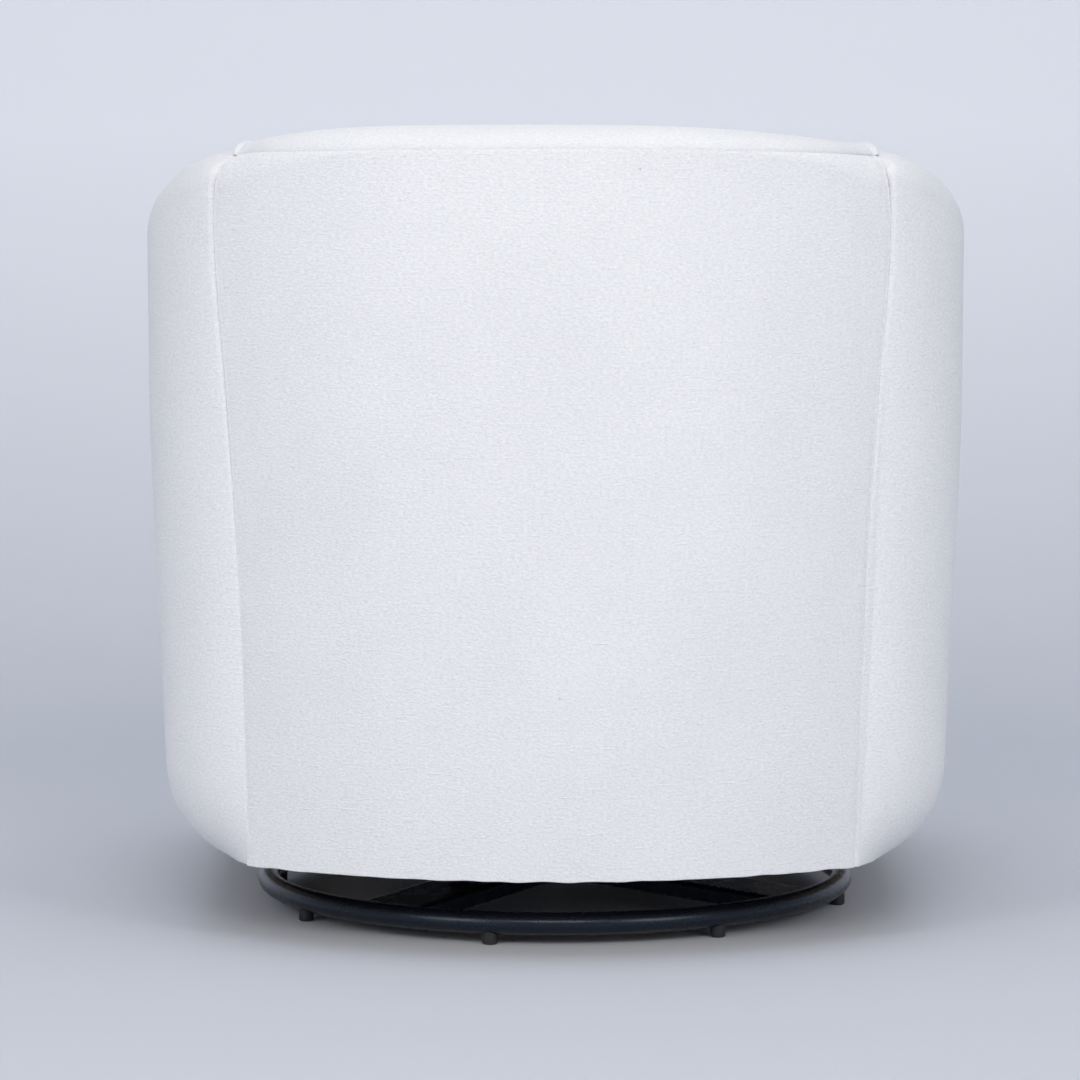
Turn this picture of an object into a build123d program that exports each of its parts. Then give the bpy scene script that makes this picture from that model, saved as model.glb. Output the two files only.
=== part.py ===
# Swivel glider chair: an upholstered tub on four swing links, over a swivel and a floor ring.
# Millimetres, +Z up, front of the chair towards -Y, origin on the floor under the swivel axis.
import os
from collections import namedtuple
from math import asin, cos, radians, sin, sqrt

from build123d import *

# Overall sizes of the upholstered tub
CHAIR_WIDTH = 798
CHAIR_DEPTH = 840
BACK_HEIGHT = 787
SHOULDER_DROP = 23
ARM_FRONT_HEIGHT = 578
HEM_HEIGHT = 74

# Plan of the tub: one wide arc at the back, run into round corners at the two back seams
BACK_RADIUS = 560
BACK_LEAN = 50
SEAM_ANGLE = 35

# Upholstered wall
WALL_THICKNESS = 115
OUTER_PAD = 16
INNER_PAD = 30
TOP_PAD = 35
ARM_FRONT_PAD = 40
LOWER_TURN_HEIGHT = 178
LOWER_TURN_IN = 14
CORNER_TUCK = 21
CORNER_TUCK_TURN = 135
ARM_TUCK = 23
SHOULDER_FALL = 0.148
SHOULDER_CURVE = 1.3
SEAM_CROWN = 36
CROWN_RUN = 0.84
SEAM_BOW = 1
BACK_BOW = 4
TOP_SEAM_DROP = 6
INSIDE_BACK_PAD = 43
INSIDE_BACK_PROUD = 13
INSIDE_BACK_LEAN = 18
BACK_ROOF_RISE = 6
ROLL_DROP = 10
ROLL_SPREAD = 0.97
ROLL_END_RISE = 4

# Crown of the padded fronts: how far each step is drawn in, and the share of the pad it stands at
ARM_FRONT_CROWN = [(0, 0), (1, 0.35), (7, 0.75), (22, 1)]
BORDER_CROWN = [(0, 0), (0.5, 0.4), (5, 0.8), (16, 1)]

# Seat
DECK_HEIGHT = 307
DECK_PAD = 12.7
CUSHION_THICKNESS = 148
CUSHION_CORNER = 45
CUSHION_OVERHANG = 20
FRONT_COVER_PAD = 26

# Boxed cushion: share of its thickness, and how far it is drawn in there
CUSHION_FORM = [(0, 10), (0.1, 1), (0.42, 5), (0.74, 1), (0.86, 12), (0.95, 55), (1, 140)]

# Timber frame
RAIL_THICKNESS = 22
SEAT_RAIL_HEIGHT = 62
POST_WIDTH = 44
POST_THICKNESS = 24
POST_ANGLE = 24
POST_SETBACK = 8
BACK_POST_SETBACK = 1.7
FRONT_RAIL_SETBACK = 35
ARM_RAIL_SETBACK = 18
BACK_RAIL_SETBACK = 9
RAIL_PAST_POST = 8
WEB_PAST_POST = 2
MIDDLE_POST_SHARE = 0.45
ARM_RAIL_HEIGHT = 50
BACK_RAIL_HEIGHT = 45
BOTTOM_RAIL_WIDTH = 40
BOTTOM_RAIL_THICKNESS = 18
CORNER_BLOCK = 60
WEB_WIDTH = 50
WEB_THICKNESS = 2
WEB_PITCH = 85
BACK_WEB_COUNT = 4
DUST_COVER_THICKNESS = 1

# Floor ring and its arms
RING_OUTSIDE = 610
RING_TUBE = 22
FOOT_HEIGHT = 10
FOOT_DIAMETER = 15
FOOT_GRIP = 4
FOOT_CHAMFER = 1.5
FOOT_COUNT = 8
ARM_COUNT = 4
BASE_TURN = 10
ARM_WIDTH = 70
ARM_DEPTH = 16
ARM_RISE = 11
ARM_SINK = 3
ARM_WALL = 2.5
ARM_EDGE_RADIUS = 5
ARM_START = 52

# Swivel bearing
HUB_PLATE_SIDE = 170
HUB_PLATE_THICKNESS = 4
HUB_PLATE_CORNER = 20
HUB_PLATE_HOLE = 30
BEARING_SIDE = 152
BEARING_CORNER = 12
BEARING_SHEET = 2.5
BALL_DIAMETER = 6
BALL_COUNT = 16
BALL_CIRCLE = 100
RACE_DEPTH = 1
SWIVEL_PIN_DIAMETER = 16
SWIVEL_PIN_HEAD = 24
SWIVEL_PIN_FLANGE = 3
SWIVEL_PIN_RIM = 2
BEARING_BOLT_SPACING = 110
BEARING_BOLT_DIAMETER = 8
BOLT_HEAD = 13
HUB_BOLT_HEAD_HEIGHT = 2.4
FRAME_BOLT_HEAD_HEIGHT = 4

# Glider mechanism
TUBE_SIDE = 25
TUBE_WALL = 2
TUBE_SPACING = 110
HANGER_SPAN = 412
HANGER_SHEET = 4
HANGER_FOOT = 250
HANGER_HOLE = 48
HANGER_HOLE_PITCH = 62
HANGER_EAR_DROP = 4
PIVOT_SPACING = 300
UPPER_PIVOT_HEIGHT = 205
LINK_LENGTH = 105
LINK_SHEET = 6
LINK_WIDTH = 28
LINK_SWING = 22
EAR_MARGIN = 2
CARRIER_SHEET = 4
CARRIER_FLANGE = 31
CARRIER_HOLE = 56
CARRIER_HOLE_PITCH = 85
PIN_DIAMETER = 10
PIN_HEAD = 17
PIN_HEAD_HEIGHT = 2.2
BUSH_WALL = 2
BUSH_PROUD = 1
BUMPER_DIAMETER = 16
BUMPER_REACH = 70
SCREW_DIAMETER = 5
SCREW_HEAD = 11
SCREW_HEAD_HEIGHT = 3
SCREW_LENGTH = 24
SCREW_INSET = 20

# Clearances
SEAT_GAP = 0.3
SEAM_GAP = 0.6
PILE_GAP = 1.5
CUSHION_GAP = 5
SLIDE_GAP = 3
SIDE_RAIL_GAP = 5
RUNNING_FIT = 0.05
OPEN_PIVOT_FIT = 0.3
HOLE_FIT = 0.2
BUMPER_GAP = 0.5

os.makedirs("parts", exist_ok=True)


def save(name, shape):
    """Write one piece, or one group of like pieces, under its own name."""
    export_step(shape, f"parts/{name}.step")


def save_pair(name, left):
    """Write a left-hand piece and its mirror image."""
    save(f"{name}_left", left)
    save(f"{name}_right", mirror(left, about=Plane.YZ))


def group(shapes):
    return Compound(children=list(shapes))


def bar(x, y, z):
    """A box between the two values given on each axis."""
    size = (x[1] - x[0], y[1] - y[0], z[1] - z[0])
    centre = ((x[0] + x[1]) / 2, (y[0] + y[1]) / 2, (z[0] + z[1]) / 2)
    return Pos(*centre) * Box(*size)


def rod(diameter, start, length, axis="Z"):
    """A round bar from a start point along one axis."""
    direction = {"X": (1, 0, 0), "Y": (0, 1, 0), "Z": (0, 0, 1)}[axis]
    place = Plane(origin=start, z_dir=direction)
    return place * Cylinder(diameter / 2, length, align=(Align.CENTER, Align.CENTER, Align.MIN))


# Places in the plan that the tub is set out from
half_width = CHAIR_WIDTH / 2
half_depth = CHAIR_DEPTH / 2
back_axis_y = half_depth - BACK_RADIUS
seam_sin = sin(radians(SEAM_ANGLE))
seam_cos = cos(radians(SEAM_ANGLE))
shoulder_height = BACK_HEIGHT - SHOULDER_DROP
corner_radius = (half_width - BACK_RADIUS * seam_sin) / (1 - seam_sin)
corner_x = half_width - corner_radius
corner_y = back_axis_y + (BACK_RADIUS - corner_radius) * seam_cos
arm_front_y = -half_depth + ARM_FRONT_PAD
inner_t = corner_radius - WALL_THICKNESS
inner_x = corner_x + inner_t
half_wall = WALL_THICKNESS / 2


def lean_at(z):
    """How far the back's face stands in at a height, from its widest line at the shoulder."""
    return BACK_LEAN * (shoulder_height - z) / (shoulder_height - HEM_HEIGHT)


def back_radius_at(z):
    return BACK_RADIUS - lean_at(z)


def back_plane(angle):
    """Upright plane through the axis of the back arc: local x runs outwards, local y up."""
    out = Vector(sin(radians(angle)), cos(radians(angle)), 0)
    return Plane(origin=(0, back_axis_y, 0), x_dir=out, z_dir=out.cross(Vector(0, 0, 1)))


def corner_plane(angle):
    """Upright plane through the axis of the left corner, turned from the side towards the back."""
    out = Vector(cos(radians(angle)), sin(radians(angle)), 0)
    return Plane(origin=(corner_x, corner_y, 0), x_dir=out, z_dir=out.cross(Vector(0, 0, 1)))


def side_plane(share):
    """Upright plane square across the left arm, at a share of the way from corner to front."""
    y = corner_y + (arm_front_y - corner_y) * share
    return Plane(origin=(corner_x, y, 0), x_dir=(1, 0, 0), z_dir=(0, -1, 0))


# Stations round the left arm, from the back seam to the front. Each has its plane, how far the hem
# and the lower turn stand in from the widest line, the share of the way down the arm's slope, the
# radius of the outer half of its round top, and the share of the way round the corner
Station = namedtuple("Station", "plane hem_in low_in fall crown turn")
corner_turn = 90 - SEAM_ANGLE


def corner_station(share):
    """Station in the round corner, at a share of the way from the back seam to the side."""
    hem_in = BACK_LEAN + CORNER_TUCK * sin(radians(CORNER_TUCK_TURN * share))
    low_in = LOWER_TURN_IN + (lean_at(LOWER_TURN_HEIGHT) - LOWER_TURN_IN) * (1 - share) ** 2
    fall = SHOULDER_FALL * share ** SHOULDER_CURVE
    grown = min(share / CROWN_RUN, 1)
    crown = SEAM_CROWN + (half_wall - SEAM_CROWN) * grown * grown * (3 - 2 * grown)
    return Station(corner_plane(corner_turn * (1 - share)), hem_in, low_in, fall, crown, share)


def side_station(share):
    """Station along the straight arm, at a share of the way from the corner to the front."""
    hem_in = ARM_TUCK + (corner_station(1).hem_in - ARM_TUCK) * (1 - share) ** 2
    fall = SHOULDER_FALL + (1 - SHOULDER_FALL) * share
    return Station(side_plane(share), hem_in, LOWER_TURN_IN, fall, half_wall, 1)


CORNER_SHARES = [0, 0.2, 0.4, 0.6, 0.8, 1]
SIDE_SHARES = [0.2, 0.4, 0.7, 1]
STATIONS = [corner_station(share) for share in CORNER_SHARES]
STATIONS += [side_station(share) for share in SIDE_SHARES]


def top_of(station):
    return shoulder_height - (shoulder_height - ARM_FRONT_HEIGHT) * station.fall


def outside_line(station, inset=0):
    """Hem, lower turn and shoulder points of the outside face, moved inwards by inset."""
    shoulder_z = top_of(station) - station.crown
    shoulder_in = lean_at(shoulder_z) * (1 - station.turn) ** 2
    hem = (corner_radius - station.hem_in - inset, HEM_HEIGHT)
    low = (corner_radius - station.low_in - inset, LOWER_TURN_HEIGHT)
    shoulder = (corner_radius - shoulder_in - inset, shoulder_z)
    return hem, low, shoulder


def outside_edges(station, hem, low, shoulder):
    """Outside face from the hem up: the arc that turns under, then the bowed wall, which leaves the
    shoulder upright at the side and nearly straight at the back seam."""
    upright_bow = (shoulder[0] - low[0]) / 4
    bow = SEAM_BOW + (upright_bow - SEAM_BOW) * station.turn
    middle = ((low[0] + shoulder[0]) / 2 + bow, (low[1] + shoulder[1]) / 2)
    slope = (low[0] - shoulder[0] - 4 * bow, low[1] - shoulder[1])
    return [TangentArc(low, hem, tangent=slope), ThreePointArc(low, middle, shoulder)]


def quarter(start, end, centre, radius):
    """Quarter of the round top, through its middle."""
    half = radius * sqrt(0.5)
    side = 1 if start[0] + end[0] > 2 * centre[0] else -1
    return ThreePointArc(start, (centre[0] + side * half, centre[1] + half), end)


def cover_section(station):
    """Inverted U of the arm cover: thin outside skin, round top and thicker inside pad."""
    hem, low, shoulder = outside_line(station)
    skin_hem, skin_low, _ = outside_line(station, OUTER_PAD)
    top = top_of(station)
    inner_crown = WALL_THICKNESS - station.crown
    crown = (shoulder[0] - station.crown, top)
    inner = (shoulder[0] - WALL_THICKNESS, top - inner_crown)
    roof = top - TOP_PAD
    inner_low = (inner_t, DECK_HEIGHT + SEAT_GAP)
    pad_low = (inner_t + INNER_PAD, inner_low[1])
    pad_roof = (inner_t + INNER_PAD, roof)
    skin_roof = (shoulder[0] - OUTER_PAD, roof)
    edges = outside_edges(station, hem, low, shoulder) + [
        quarter(shoulder, crown, (crown[0], shoulder[1]), station.crown),
        quarter(crown, inner, (crown[0], inner[1]), inner_crown),
        Line(inner, inner_low),
        Line(inner_low, pad_low),
        Line(pad_low, pad_roof),
        Line(pad_roof, skin_roof),
        Line(skin_roof, skin_low),
        Line(skin_low, skin_hem),
        Line(skin_hem, hem),
    ]
    return station.plane * make_face(edges)


def board_section(station, t, z):
    """Rectangle across the wall, between two distances out and two heights."""
    corners = [(t[0], z[0]), (t[1], z[0]), (t[1], z[1]), (t[0], z[1])]
    return station.plane * make_face(Polyline(*corners, close=True))


# Padded arm covers, lofted round the corner and down the slope of the arm
arm_cover = loft([cover_section(station) for station in STATIONS], ruled=True)
save_pair("arm_cover", arm_cover)


def front_section(inset, share):
    """Outline of the arm's front face, drawn in all round by inset, at a share of the front pad."""
    station = STATIONS[-1]
    hem, low, shoulder = outside_line(station, inset)
    radius = half_wall - inset
    hem = (hem[0], hem[1] + inset)
    crown = (shoulder[0] - radius, top_of(station) - inset)
    inner = (shoulder[0] - 2 * radius, shoulder[1])
    inner_hem = (inner[0], hem[1])
    edges = outside_edges(station, hem, low, shoulder) + [
        quarter(shoulder, crown, (crown[0], shoulder[1]), radius),
        quarter(crown, inner, (crown[0], shoulder[1]), radius),
        Line(inner, inner_hem),
        Line(inner_hem, hem),
    ]
    y = arm_front_y - SEAT_GAP - (ARM_FRONT_PAD - SEAT_GAP) * share
    return Plane(origin=(corner_x, y, 0), x_dir=(1, 0, 0), z_dir=(0, -1, 0)) * make_face(edges)


# Crowned front of each arm
arm_front = loft([front_section(inset, share) for inset, share in ARM_FRONT_CROWN])
save_pair("arm_front", arm_front)


# Back: pads and rails set out round the axis of the back arc, each short of the seam planes
def short_of_seam(gap):
    """Angle that stops a gap short of the seam plane, measured at the back arc."""
    return SEAM_ANGLE - gap / BACK_RADIUS / radians(1)


BACK_SHARES = [-1, -0.5, 0, 0.5, 1]
seat_back_radius = BACK_RADIUS - WALL_THICKNESS - INSIDE_BACK_PROUD
back_roof = shoulder_height - TOP_PAD + BACK_ROOF_RISE


def top_seam_at(share):
    """Height of the seam between outside and inside back, which drops towards its ends."""
    return shoulder_height - TOP_SEAM_DROP * share * share


def inside_back_section(share):
    """Front pad and rolled top of the inside back, in one upright plane."""
    top = BACK_HEIGHT - (SHOULDER_DROP - ROLL_END_RISE) * share * share
    seam_z = top_seam_at(share) + SEAT_GAP
    rear = (back_radius_at(seam_z), seam_z)
    ledge = (rear[0] - OUTER_PAD - SEAT_GAP, seam_z)
    ledge_roof = (back_radius_at(back_roof) - OUTER_PAD - SEAT_GAP, back_roof)
    low = (seat_back_radius, DECK_HEIGHT + SEAT_GAP)
    high = (seat_back_radius + INSIDE_BACK_LEAN, back_roof - ROLL_DROP)
    crown = (high[0] + (top - high[1]) * ROLL_SPREAD, top)
    pad_high = (high[0] + INSIDE_BACK_PAD, back_roof)
    pad_low = (low[0] + INSIDE_BACK_PAD, low[1])
    edges = [
        Line(low, high),
        TangentArc(crown, high, tangent=(-1, 0)),
        TangentArc(crown, rear, tangent=(1, 0)),
        Line(rear, ledge),
        Line(ledge, ledge_roof),
        Line(ledge_roof, pad_high),
        Line(pad_high, pad_low),
        Line(pad_low, low),
    ]
    return back_plane(share * short_of_seam(SEAM_GAP)) * make_face(edges)


def outside_back_section(share):
    """Thin padded back panel from the hem up to the top seam."""
    top = top_seam_at(share)
    outer_low = (back_radius_at(HEM_HEIGHT), HEM_HEIGHT)
    outer_top = (back_radius_at(top), top)
    bow = SEAM_BOW + BACK_BOW * (1 - share * share)
    middle = ((outer_low[0] + outer_top[0]) / 2 + bow, (outer_low[1] + outer_top[1]) / 2)
    edges = [
        ThreePointArc(outer_low, middle, outer_top),
        Line(outer_top, (outer_top[0] - OUTER_PAD, top)),
        Line((outer_top[0] - OUTER_PAD, top), (outer_low[0] - OUTER_PAD, HEM_HEIGHT)),
        Line((outer_low[0] - OUTER_PAD, HEM_HEIGHT), outer_low),
    ]
    return back_plane(share * short_of_seam(SEAM_GAP)) * make_face(edges)


inside_back = loft([inside_back_section(share) for share in BACK_SHARES])
save("inside_back", inside_back)
outside_back = loft([outside_back_section(share) for share in BACK_SHARES])
save("outside_back", outside_back)


def back_sector(r, z, angle):
    """Curved board round the back axis, reaching the same angle to each side."""
    ring = Pos(0, back_axis_y, z[0]) * (
        Cylinder(r[1], z[1] - z[0], align=(Align.CENTER, Align.CENTER, Align.MIN))
        - Cylinder(r[0], z[1] - z[0], align=(Align.CENTER, Align.CENTER, Align.MIN))
    )
    reach = 2 * r[1]
    edge = (reach * sin(radians(angle)), reach * cos(radians(angle)))
    wedge = make_face(Polyline((0, 0), edge, (-edge[0], edge[1]), close=True))
    return ring & (Pos(0, back_axis_y, z[0]) * extrude(wedge, z[1] - z[0]))


# Bottom rails, where the cloth is stapled at the hem
bottom_rail_z = (HEM_HEIGHT + SEAT_GAP, HEM_HEIGHT + BOTTOM_RAIL_THICKNESS)


def bottom_rail_t(station):
    outer = corner_radius - station.hem_in - OUTER_PAD - SEAT_GAP
    return outer - BOTTOM_RAIL_WIDTH, outer


rail_stations = STATIONS[:-1] + [side_station(1 - SLIDE_GAP / (corner_y - arm_front_y))]
bottom_rail = loft(
    [board_section(s, bottom_rail_t(s), bottom_rail_z) for s in rail_stations], ruled=True
)
save_pair("bottom_rail", bottom_rail)
back_hem_radius = back_radius_at(HEM_HEIGHT) - OUTER_PAD - SEAT_GAP
bottom_rail_back = back_sector(
    (back_hem_radius - BOTTOM_RAIL_WIDTH, back_hem_radius), bottom_rail_z, short_of_seam(SEAT_GAP)
)
save("bottom_rail_back", bottom_rail_back)

# Arm rails just under the padded arm tops, and the back rail under the rolled top
arm_rail_inner = inner_t + INNER_PAD + ARM_RAIL_SETBACK
arm_rail_t = (arm_rail_inner, arm_rail_inner + POST_THICKNESS)


def arm_rail_z(station):
    top = top_of(station) - TOP_PAD - SEAT_GAP
    return top - ARM_RAIL_HEIGHT, top


arm_rail = loft([board_section(s, arm_rail_t, arm_rail_z(s)) for s in rail_stations], ruled=True)
save_pair("arm_rail", arm_rail)
back_rail_z = (back_roof - SEAT_GAP - BACK_RAIL_HEIGHT, back_roof - SEAT_GAP)
back_rail_inner = seat_back_radius + INSIDE_BACK_LEAN + INSIDE_BACK_PAD + BACK_RAIL_SETBACK
back_rail_r = (back_rail_inner, back_rail_inner + POST_THICKNESS)
back_top_rail = back_sector(back_rail_r, back_rail_z, short_of_seam(SEAT_GAP))
save("back_top_rail", back_top_rail)


def post(plane, foot, head):
    """Upright board in one plane of the wall, leaning from its foot to its head."""
    (foot_t, foot_z), (head_t, head_z) = foot, head
    corners = [
        (foot_t, foot_z),
        (foot_t + POST_THICKNESS, foot_z),
        (head_t + POST_THICKNESS, head_z),
        (head_t, head_z),
    ]
    return extrude(plane * make_face(Polyline(*corners, close=True)), POST_WIDTH / 2, both=True)


post_foot_z = bottom_rail_z[1]
front_post_share = 1 - (POST_WIDTH / 2 + SLIDE_GAP) / (corner_y - arm_front_y)
front_post_t = bottom_rail_t(side_station(front_post_share))[0] + POST_SETBACK


def side_post(share):
    """Post of the left arm, standing on the bottom rail under the slope of the arm rail."""
    lower_edge = side_station(share + POST_WIDTH / 2 / (corner_y - arm_front_y))
    head_z = arm_rail_z(lower_edge)[0] - SEAT_GAP
    foot_t = bottom_rail_t(side_station(share))[0] + POST_SETBACK
    return post(side_plane(share), (foot_t, post_foot_z), (arm_rail_t[0], head_z))


left_posts = [side_post(MIDDLE_POST_SHARE), side_post(front_post_share)]
back_post_foot = back_hem_radius - POST_THICKNESS - BACK_POST_SETBACK
left_posts.append(
    post(back_plane(POST_ANGLE), (back_post_foot, post_foot_z), (back_rail_r[0], back_rail_z[0]))
)
save("frame_posts", group(left_posts + [mirror(piece, about=Plane.YZ) for piece in left_posts]))


def back_post_radius(z):
    """Inner face of the back posts at a height."""
    share = (z - post_foot_z) / (back_rail_z[0] - post_foot_z)
    return back_post_foot + (back_rail_r[0] - back_post_foot) * share


# Seat rails: straight front and side rails, and a curved rail across the back posts
seat_rail_top = DECK_HEIGHT - DECK_PAD - 2 * WEB_THICKNESS - SEAT_GAP
seat_rail_z = (seat_rail_top - SEAT_RAIL_HEIGHT, seat_rail_top)
front_rail_face = arm_front_y + FRONT_RAIL_SETBACK
front_rail_y = (front_rail_face, front_rail_face + RAIL_THICKNESS)
front_rail_half = corner_x + front_post_t - SEAT_GAP
seat_front_rail = bar(
    (-front_rail_half, front_rail_half), front_rail_y, (bottom_rail_z[1], seat_rail_top)
)
save("seat_front_rail", seat_front_rail)
seat_back_r = back_post_radius(seat_rail_z[0]) - SEAT_GAP
seat_back_inner = seat_back_r - RAIL_THICKNESS
seat_back_rail = back_sector((seat_back_inner, seat_back_r), seat_rail_z, POST_ANGLE + RAIL_PAST_POST)
save("seat_back_rail", seat_back_rail)

# Glider mechanism set out across the chair
hanger_x = (HANGER_SPAN / 2, HANGER_SPAN / 2 + HANGER_SHEET)
link_x = (hanger_x[1] + SLIDE_GAP, hanger_x[1] + SLIDE_GAP + LINK_SHEET)
carrier_inner = link_x[1] + BUSH_PROUD + SLIDE_GAP
carrier_x = (carrier_inner, carrier_inner + CARRIER_SHEET)
lower_pivot_height = UPPER_PIVOT_HEIGHT - LINK_LENGTH
pivot_y = PIVOT_SPACING / 2
side_rail_x = (carrier_x[1] + SIDE_RAIL_GAP, carrier_x[1] + SIDE_RAIL_GAP + RAIL_THICKNESS)


def inside_back_arc(radius, z):
    """Round solid about the back axis, to trim what runs back to the curved pieces."""
    height = z[1] - z[0]
    disc = Cylinder(radius, height, align=(Align.CENTER, Align.CENTER, Align.MIN))
    return Pos(0, back_axis_y, z[0]) * disc


side_rail = bar(side_rail_x, (front_rail_y[1], half_depth), seat_rail_z)
side_rail = side_rail & inside_back_arc(seat_back_inner - SEAT_GAP, seat_rail_z)


def corner_block(x_side, y_corner, y_side):
    """Triangular glue block in one corner of the seat rails."""
    x = side_rail_x[0] - SEAT_GAP
    corners = [(x_side * x, y_corner), (x_side * (x - CORNER_BLOCK), y_corner)]
    corners.append((x_side * x, y_corner + y_side * CORNER_BLOCK))
    face = make_face(Polyline(*corners, close=True))
    return Pos(0, 0, seat_rail_z[0] + RAIL_THICKNESS) * extrude(face, RAIL_THICKNESS)


block_rear_y = back_axis_y + sqrt((seat_back_inner - SEAT_GAP) ** 2 - side_rail_x[0] ** 2)
blocks = []
for x_side in (-1, 1):
    blocks.append(corner_block(x_side, front_rail_y[1] + SEAT_GAP, 1))
    blocks.append(corner_block(x_side, block_rear_y, -1))
save("corner_blocks", group(blocks))

# Seat webbing in two layers on the rails, the deck pad over it and the dust cover below
web_low = (seat_rail_top, seat_rail_top + WEB_THICKNESS)
web_high = (web_low[1], web_low[1] + WEB_THICKNESS)
long_webs = []
for step in (-2, -1, 0, 1, 2):
    x = (step * WEB_PITCH - WEB_WIDTH / 2, step * WEB_PITCH + WEB_WIDTH / 2)
    strap = bar(x, (front_rail_y[0], half_depth), web_low)
    long_webs.append(strap & inside_back_arc(seat_back_r, web_low))
save("seat_webbing_long", group(long_webs))
cross_webs = []
for step in (-2, -1, 0, 1, 2):
    y = step * WEB_PITCH - WEB_PITCH / 2
    span = (y - WEB_WIDTH / 2, y + WEB_WIDTH / 2)
    cross_webs.append(bar((-side_rail_x[1], side_rail_x[1]), span, web_high))
save("seat_webbing_cross", group(cross_webs))

deck_z = (web_high[1] + SEAT_GAP, DECK_HEIGHT)
deck_half = inner_x - PILE_GAP
deck_pad = bar((-deck_half, deck_half), (front_rail_y[0], half_depth), deck_z)
deck_pad = deck_pad & inside_back_arc(seat_back_radius - PILE_GAP, deck_z)
save("deck_pad", deck_pad)

dust_z = (seat_rail_z[0], seat_rail_z[0] + DUST_COVER_THICKNESS)
dust_half = side_rail_x[0] - SEAT_GAP
dust_cover = bar((-dust_half, dust_half), (front_rail_y[1] + SEAT_GAP, half_depth), dust_z)
dust_cover = dust_cover & inside_back_arc(seat_back_inner - SEAT_GAP, dust_z)
save("dust_cover", dust_cover)

# Webbing across the back posts, behind the inside back pad
back_web_pitch = (back_rail_z[0] - DECK_HEIGHT) / (BACK_WEB_COUNT + 1)
back_webs = []
for step in range(BACK_WEB_COUNT):
    low = DECK_HEIGHT + (step + 1) * back_web_pitch - WEB_WIDTH / 2
    outer = back_post_radius(low) - SEAT_GAP
    reach = POST_ANGLE + WEB_PAST_POST
    back_webs.append(back_sector((outer - WEB_THICKNESS, outer), (low, low + WEB_WIDTH), reach))
save("back_webbing", group(back_webs))


# Loose seat cushion: boxed sides drawn in between two sewn edges, and a crowned top
front_cover_back = front_rail_y[0] - SEAT_GAP
cushion_front_y = front_cover_back - FRONT_COVER_PAD - CUSHION_OVERHANG
cushion_half = inner_x - CUSHION_GAP
cushion_back_radius = seat_back_radius - CUSHION_GAP


def cushion_section(z, inset):
    """Plan of the cushion at one height: straight front and sides, and a back that is one arc."""
    half = cushion_half - inset
    front = cushion_front_y + inset
    radius = cushion_back_radius - inset
    side_y = back_axis_y + sqrt(radius * radius - half * half)
    corner = CUSHION_CORNER
    middle = corner * (1 - sqrt(0.5))
    edges = [
        Line((-half + corner, front), (half - corner, front)),
        ThreePointArc((half - corner, front), (half - middle, front + middle), (half, front + corner)),
        Line((half, front + corner), (half, side_y)),
        ThreePointArc((half, side_y), (0, back_axis_y + radius), (-half, side_y)),
        Line((-half, side_y), (-half, front + corner)),
        ThreePointArc(
            (-half, front + corner), (-half + middle, front + middle), (-half + corner, front)
        ),
    ]
    return Pos(0, 0, z) * make_face(edges)


cushion_low = DECK_HEIGHT + SEAT_GAP
seat_cushion = loft(
    [cushion_section(cushion_low + CUSHION_THICKNESS * share, inset) for share, inset in CUSHION_FORM]
)
save("seat_cushion", seat_cushion)

# Padded front border below the cushion
front_cover_top = DECK_HEIGHT - SEAT_GAP


def front_border(inset, share):
    """Outline of the border, drawn in all round by inset, at a share of its pad."""
    y = front_cover_back - FRONT_COVER_PAD * share
    half = inner_x - PILE_GAP - inset
    low, high = HEM_HEIGHT + inset, front_cover_top - inset
    corners = [(-half, low), (half, low), (half, high), (-half, high)]
    return Plane(origin=(0, y, 0), x_dir=(1, 0, 0), z_dir=(0, -1, 0)) * make_face(
        Polyline(*corners, close=True)
    )


front_cover = loft([front_border(inset, share) for inset, share in BORDER_CROWN])
save("front_cover", front_cover)

# Floor ring: one bent steel tube, closed by a weld
ring_radius = (RING_OUTSIDE - RING_TUBE) / 2
ring_z = FOOT_HEIGHT + RING_TUBE / 2
base_ring = Pos(0, 0, ring_z) * Torus(ring_radius, RING_TUBE / 2)
foot_saddle = Pos(0, 0, ring_z) * Torus(ring_radius, RING_TUBE / 2 + SEAT_GAP / 3)
save("base_ring", base_ring)

# Glides pushed on under the ring, two beside each arm
feet = []
for index in range(FOOT_COUNT):
    angle = BASE_TURN + 360 / FOOT_COUNT * (index + 0.5)
    glide = rod(FOOT_DIAMETER, (0, 0, 0), FOOT_HEIGHT + FOOT_GRIP)
    glide = chamfer(glide.edges().group_by(Axis.Z)[0], FOOT_CHAMFER)
    feet.append(Rot(0, 0, angle) * Pos(ring_radius, 0, 0) * glide - foot_saddle)
save("foot_glides", group(feet))

# Pressed channel arms from the hub to the ring, open below, coped to the tube
ring_arm_top = ring_z + RING_TUBE / 2 - ARM_SINK
hub_arm_top = ring_arm_top + ARM_RISE


def arm_block(shrink, low_drop):
    """Tapering bar along +X from the hub to the ring."""
    def face(x, top):
        half = ARM_WIDTH / 2 - shrink
        low, high = top - ARM_DEPTH - low_drop, top - shrink
        corners = [(-half, low), (half, low), (half, high), (-half, high)]
        return Plane(origin=(x, 0, 0), x_dir=(0, 1, 0), z_dir=(1, 0, 0)) * make_face(
            Polyline(*corners, close=True)
        )
    return loft([face(ARM_START, hub_arm_top), face(ring_radius, ring_arm_top)], ruled=True)


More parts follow.
